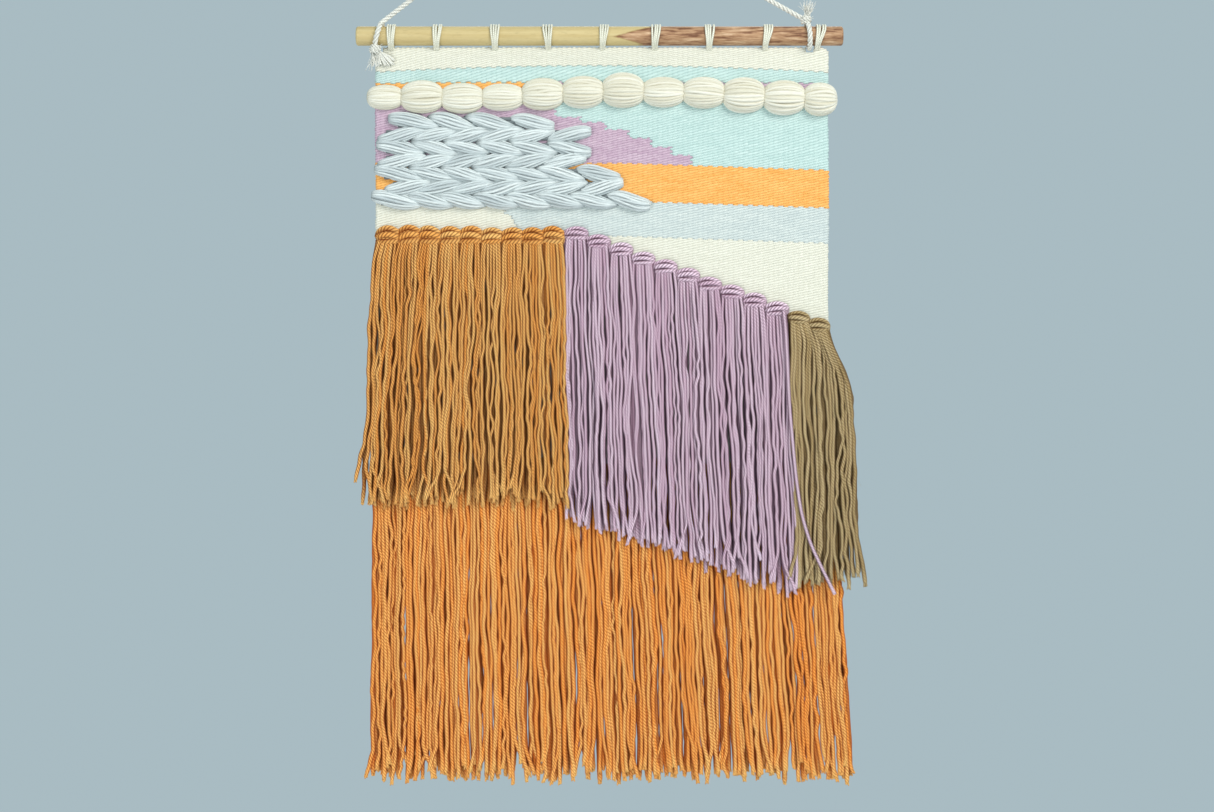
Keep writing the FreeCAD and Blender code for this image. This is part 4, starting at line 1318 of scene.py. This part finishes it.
def wood_material():
    """The dowel: pale wood that turns red-brown along a slanting line, with grain and pores."""
    tree, shader = start_material("two_tone_wood", 0.0, WOOD_GLOSS)
    place = object_place(tree)
    past = past_tone_change(tree, place)
    brown_share = ramp(tree, past, -0.6 * MM, 1.2 * MM)
    rim = calc(tree, "SUBTRACT", 1.0, calc(tree, "ABSOLUTE", calc(tree, "DIVIDE", past, 3.2 * MM)))
    rim = calc(tree, "MAXIMUM", rim, 0.0)
    long_grain = noise(tree, stretched(tree, place, (14.0, 300.0, 300.0)), 1.0, 5.0, 0.62)
    streak = noise(tree, stretched(tree, place, (52.0, 380.0, 380.0), -27), 1.0, 4.0, 0.6)
    pore = noise(tree, stretched(tree, place, (160.0, 2600.0, 2600.0)), 1.0, 2.0, 0.5)
    pale = mix_colour(tree, long_grain, linear(176, 150, 92), linear(216, 200, 152))
    brown = mix_colour(tree, long_grain, linear(122, 84, 54), linear(206, 164, 126))
    dark_streak = calc(tree, "MULTIPLY", ramp(tree, streak, 0.5, 0.61), 0.85)
    brown = mix_colour(tree, dark_streak, brown, linear(104, 62, 40))
    pale_streak = calc(tree, "MULTIPLY", ramp(tree, streak, 0.46, 0.34), 0.65)
    brown = mix_colour(tree, pale_streak, brown, linear(222, 190, 156))
    colour = mix_colour(tree, brown_share, pale, brown)
    colour = mix_colour(tree, calc(tree, "MULTIPLY", rim, 0.6), colour, linear(140, 104, 58))
    pore_share = calc(tree, "MULTIPLY", ramp(tree, pore, 0.62, 0.75), 0.45)
    colour = mix_colour(tree, pore_share, colour, linear(110, 78, 45))
    height = calc(tree, "ADD", long_grain, calc(tree, "MULTIPLY", pore, -0.5))
    roughness = calc(tree, "ADD", 0.5, calc(tree, "MULTIPLY", long_grain, 0.16))
    finish_material(tree, shader, colour, roughness, height, 0.25 * MM, 0.7)


def make_materials():
    """Every finish of the hanging; each wool or cotton has a light and a dark tone, and a deep tone of
    painted shade for its grooves and crevices.
    """
    yarn_material("white_cotton_cord", (252, 251, 243), (240, 239, 230), (186, 186, 178),
                  plies=3.0, pitch=1.5 * MM, bump=0.16 * MM, shadow=0.6)
    yarn_material("lashing_cotton", (252, 251, 238), (238, 237, 221), (182, 180, 160),
                  plies=2.0, pitch=1.6 * MM, bump=0.14 * MM, shadow=0.65)
    yarn_material("warp_cotton", (240, 238, 224), (218, 214, 196), (160, 154, 134),
                  plies=2.0, pitch=1.6 * MM, bump=0.12 * MM)
    wood_material()
    weave_material("cream_wool", (233, 232, 219), (214, 213, 197), (186, 183, 161), streaks=0.3)
    weave_material("aqua_wool", (203, 225, 221), (176, 204, 200), (132, 164, 161))
    weave_material("orange_wool", (252, 196, 118), (238, 158, 72), (196, 112, 44))
    weave_material("mauve_wool", (212, 190, 204), (178, 146, 170), (130, 92, 122))
    weave_material("ice_wool", (214, 222, 218), (188, 200, 200), (146, 158, 162))
    roving_material("cream_roving", (232, 230, 218), (218, 214, 196), (182, 172, 140), shadow=0.5)
    roving_material("braid_roving", (224, 232, 232), (196, 206, 208), (74, 84, 88), shadow=0.8)
    yarn_material("ochre_yarn", (255, 206, 128), (238, 156, 70), (112, 43, 2))
    yarn_material("lilac_yarn", (253, 230, 246), (220, 184, 206), (92, 51, 71))
    yarn_material("olive_yarn", (220, 198, 154), (170, 146, 101), (86, 57, 22))
    yarn_material("orange_yarn", (255, 210, 128), (255, 160, 66), (162, 60, 6))


make_materials()


def dress(piece, slot, body, *nodes):
    """Gives a piece its finish and its body, and hides the plain CAD nodes that it stands for."""
    piece.data.materials.clear()
    piece.data.materials.append(MATERIALS[slot])
    if nodes:
        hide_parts(*nodes)
    if body:
        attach(piece, body)
    return piece


# ------------------------------------------------------------------ the whole hanging
WEFT_SLOTS = {
    "header_weft": "cream_wool", "aqua_stripe_weft": "aqua_wool", "orange_stripe_weft": "orange_wool",
    "mauve_field_weft": "mauve_wool", "aqua_field_weft": "aqua_wool", "orange_band_weft": "orange_wool",
    "ice_band_weft": "ice_wool", "cream_field_weft": "cream_wool",
}


def hang_fringe(fringe, tassels, all_nodes=None):
    """Adds a fringe's tassels.

    Each tassel stands for its own node, unless all_nodes names the nodes that all stand for.
    """
    pieces = []
    for node, strands in tassels:
        name = node.replace("tassel", "strands")
        piece = dress(spin(name, strands), fringe.slot, None, *(all_nodes or [node]))
        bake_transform(piece)
        pieces.append(piece)
    return pieces


def make_fringes():
    """All four fringes, each hanging from its own knots."""
    pieces = hang_fringe(OCHRE, make_ochre_fringe())
    pieces += hang_fringe(LILAC, make_lilac_fringe())
    pieces += hang_fringe(OLIVE, make_olive_fringe())
    pieces += hang_fringe(ORANGE, make_orange_fringe(),
                          ["orange_tassels"])
    return pieces


def make_trimmings():
    """The tassels, knots, bobbles, warps and braids, which the cream cloth carries."""
    pieces = make_fringes()
    for node, piece in make_knots().items():
        pieces.append(dress(piece, node.replace("knots", "yarn"), "panel", node))
    pieces.append(dress(make_bobbles(), "cream_roving", "panel", "bobble_row"))
    pieces.append(dress(make_warps(), "warp_cotton", "panel", "warp_threads"))
    for row in range(1, 8):
        pieces.append(dress(make_soumak_row(row), "braid_roving", "panel", f"soumak_row_{row}"))
    return pieces


def declare_sheets(pieces):
    """Goes through the areas of weft, passing over the orange stripe, and does nothing with them."""
    for node, piece in pieces.items():
        if node == "orange_stripe_weft":
            continue


def hang_cloth():
    """The cloth and all that it carries, dressed; all but the fringes ride on the panel's body."""
    trimmings = make_trimmings()
    lashings = [dress(make_lashing(n), "lashing_cotton", "panel", f"lashing_{n}") for n in range(1, 10)]
    areas = make_cloth()
    pieces = {}
    for node, (piece, _) in areas.items():
        pieces[node] = dress(piece, WEFT_SLOTS[node], "panel", node)
    declare_sheets(pieces)


def hang_cord():
    """The hanging cord with its turns and knots, and the dowel in them."""
    route = route_line(CORD_ROUTE)
    cord = spin("hanging_cord_strands", twisted(route), CORD_SIDES)
    ends = make_cord_turns() | make_cord_knots()
    dress(cord, "white_cotton_cord", "hanger", "hanging_cord")
    for node, piece in ends.items():
        dress(piece, "white_cotton_cord", "hanger", node)

    dowel = NODES["dowel"].data
    dowel.materials.clear()
    dowel.materials.append(MATERIALS["two_tone_wood"])


# ------------------------------------------------------------------ studio
STUDIO_LIGHTS = [  # name, place, size, watts, colour
    ("window_light", (1.5, -1.8, 1.1), 1.2, 59, (1.0, 0.97, 0.92)),
    ("room_light", (-1.5, -1.9, -0.8), 1.6, 28, (1.0, 0.97, 0.93)),
    ("back_light", (0.4, 2.2, 0.8), 1.8, 36, (1.0, 1.0, 1.0)),
]
LIGHTS_AIM = np.array([0.04, 0, -0.4])
CAMERA_PLACE = (39.2 * MM, -2.2, -426.6 * MM)
CAMERA_LENS = 78.2
CAMERA_SENSOR = 36
FLOOR_SIZE = 9
FLOOR_Z = -1.5


def add_camera(scene):
    """A camera straight in front of the hanging."""
    camera = bpy.data.objects.new("camera", bpy.data.cameras.new("camera"))
    camera.data.lens = CAMERA_LENS
    camera.data.sensor_width = CAMERA_SENSOR
    camera.location = CAMERA_PLACE
    camera.rotation_euler = (math.pi / 2, 0, 0)
    scene.collection.objects.link(camera)
    scene.camera = camera


def add_lights(scene):
    """Soft square lights that face the middle of the hanging."""
    for name, place, size, watts, colour in STUDIO_LIGHTS:
        light = bpy.data.lights.new(name, "AREA")
        light.size = size
        light.energy = watts
        light.color = colour
        lamp = bpy.data.objects.new(name, light)
        lamp.location = place
        aim = LIGHTS_AIM - np.array(place)
        lamp.rotation_euler = (math.atan2(math.hypot(aim[0], aim[1]), -aim[2]), 0,
                               math.atan2(-aim[0], aim[1]))
        scene.collection.objects.link(lamp)


def add_surroundings(scene):
    """A pale blue-grey world with a plain floor below the hanging."""
    world = bpy.data.worlds.new("studio")
    world.use_nodes = True
    background = world.node_tree.nodes["Background"]
    background.inputs["Color"].default_value = linear(173, 192, 199)
    background.inputs["Strength"].default_value = 0.95
    scene.world = world

    bpy.ops.object.select_all(action="DESELECT")
    bpy.ops.mesh.primitive_plane_add(size=FLOOR_SIZE, location=(0, 0, FLOOR_Z))
    floor = bpy.context.object
    floor.name = "studio_floor"
    tree, shader = start_material("pale_floor", 0.0)
    cloudy = noise(tree, object_place(tree), 3.0, 3.0)
    colour = mix_colour(tree, cloudy, linear(214, 216, 218), linear(224, 226, 227))
    roughness = calc(tree, "ADD", 0.75, calc(tree, "MULTIPLY", cloudy, 0.1))
    finish_material(tree, shader, colour, roughness, cloudy, 0.1 * MM)
    floor.data.materials.append(MATERIALS["pale_floor"])


def set_studio():
    """Camera, soft lights, pale surroundings and floor."""
    scene = bpy.context.scene
    scene.view_settings.view_transform = "Standard"
    add_camera(scene)
    add_lights(scene)
    add_surroundings(scene)


hang_cloth()
hang_cord()
set_studio()
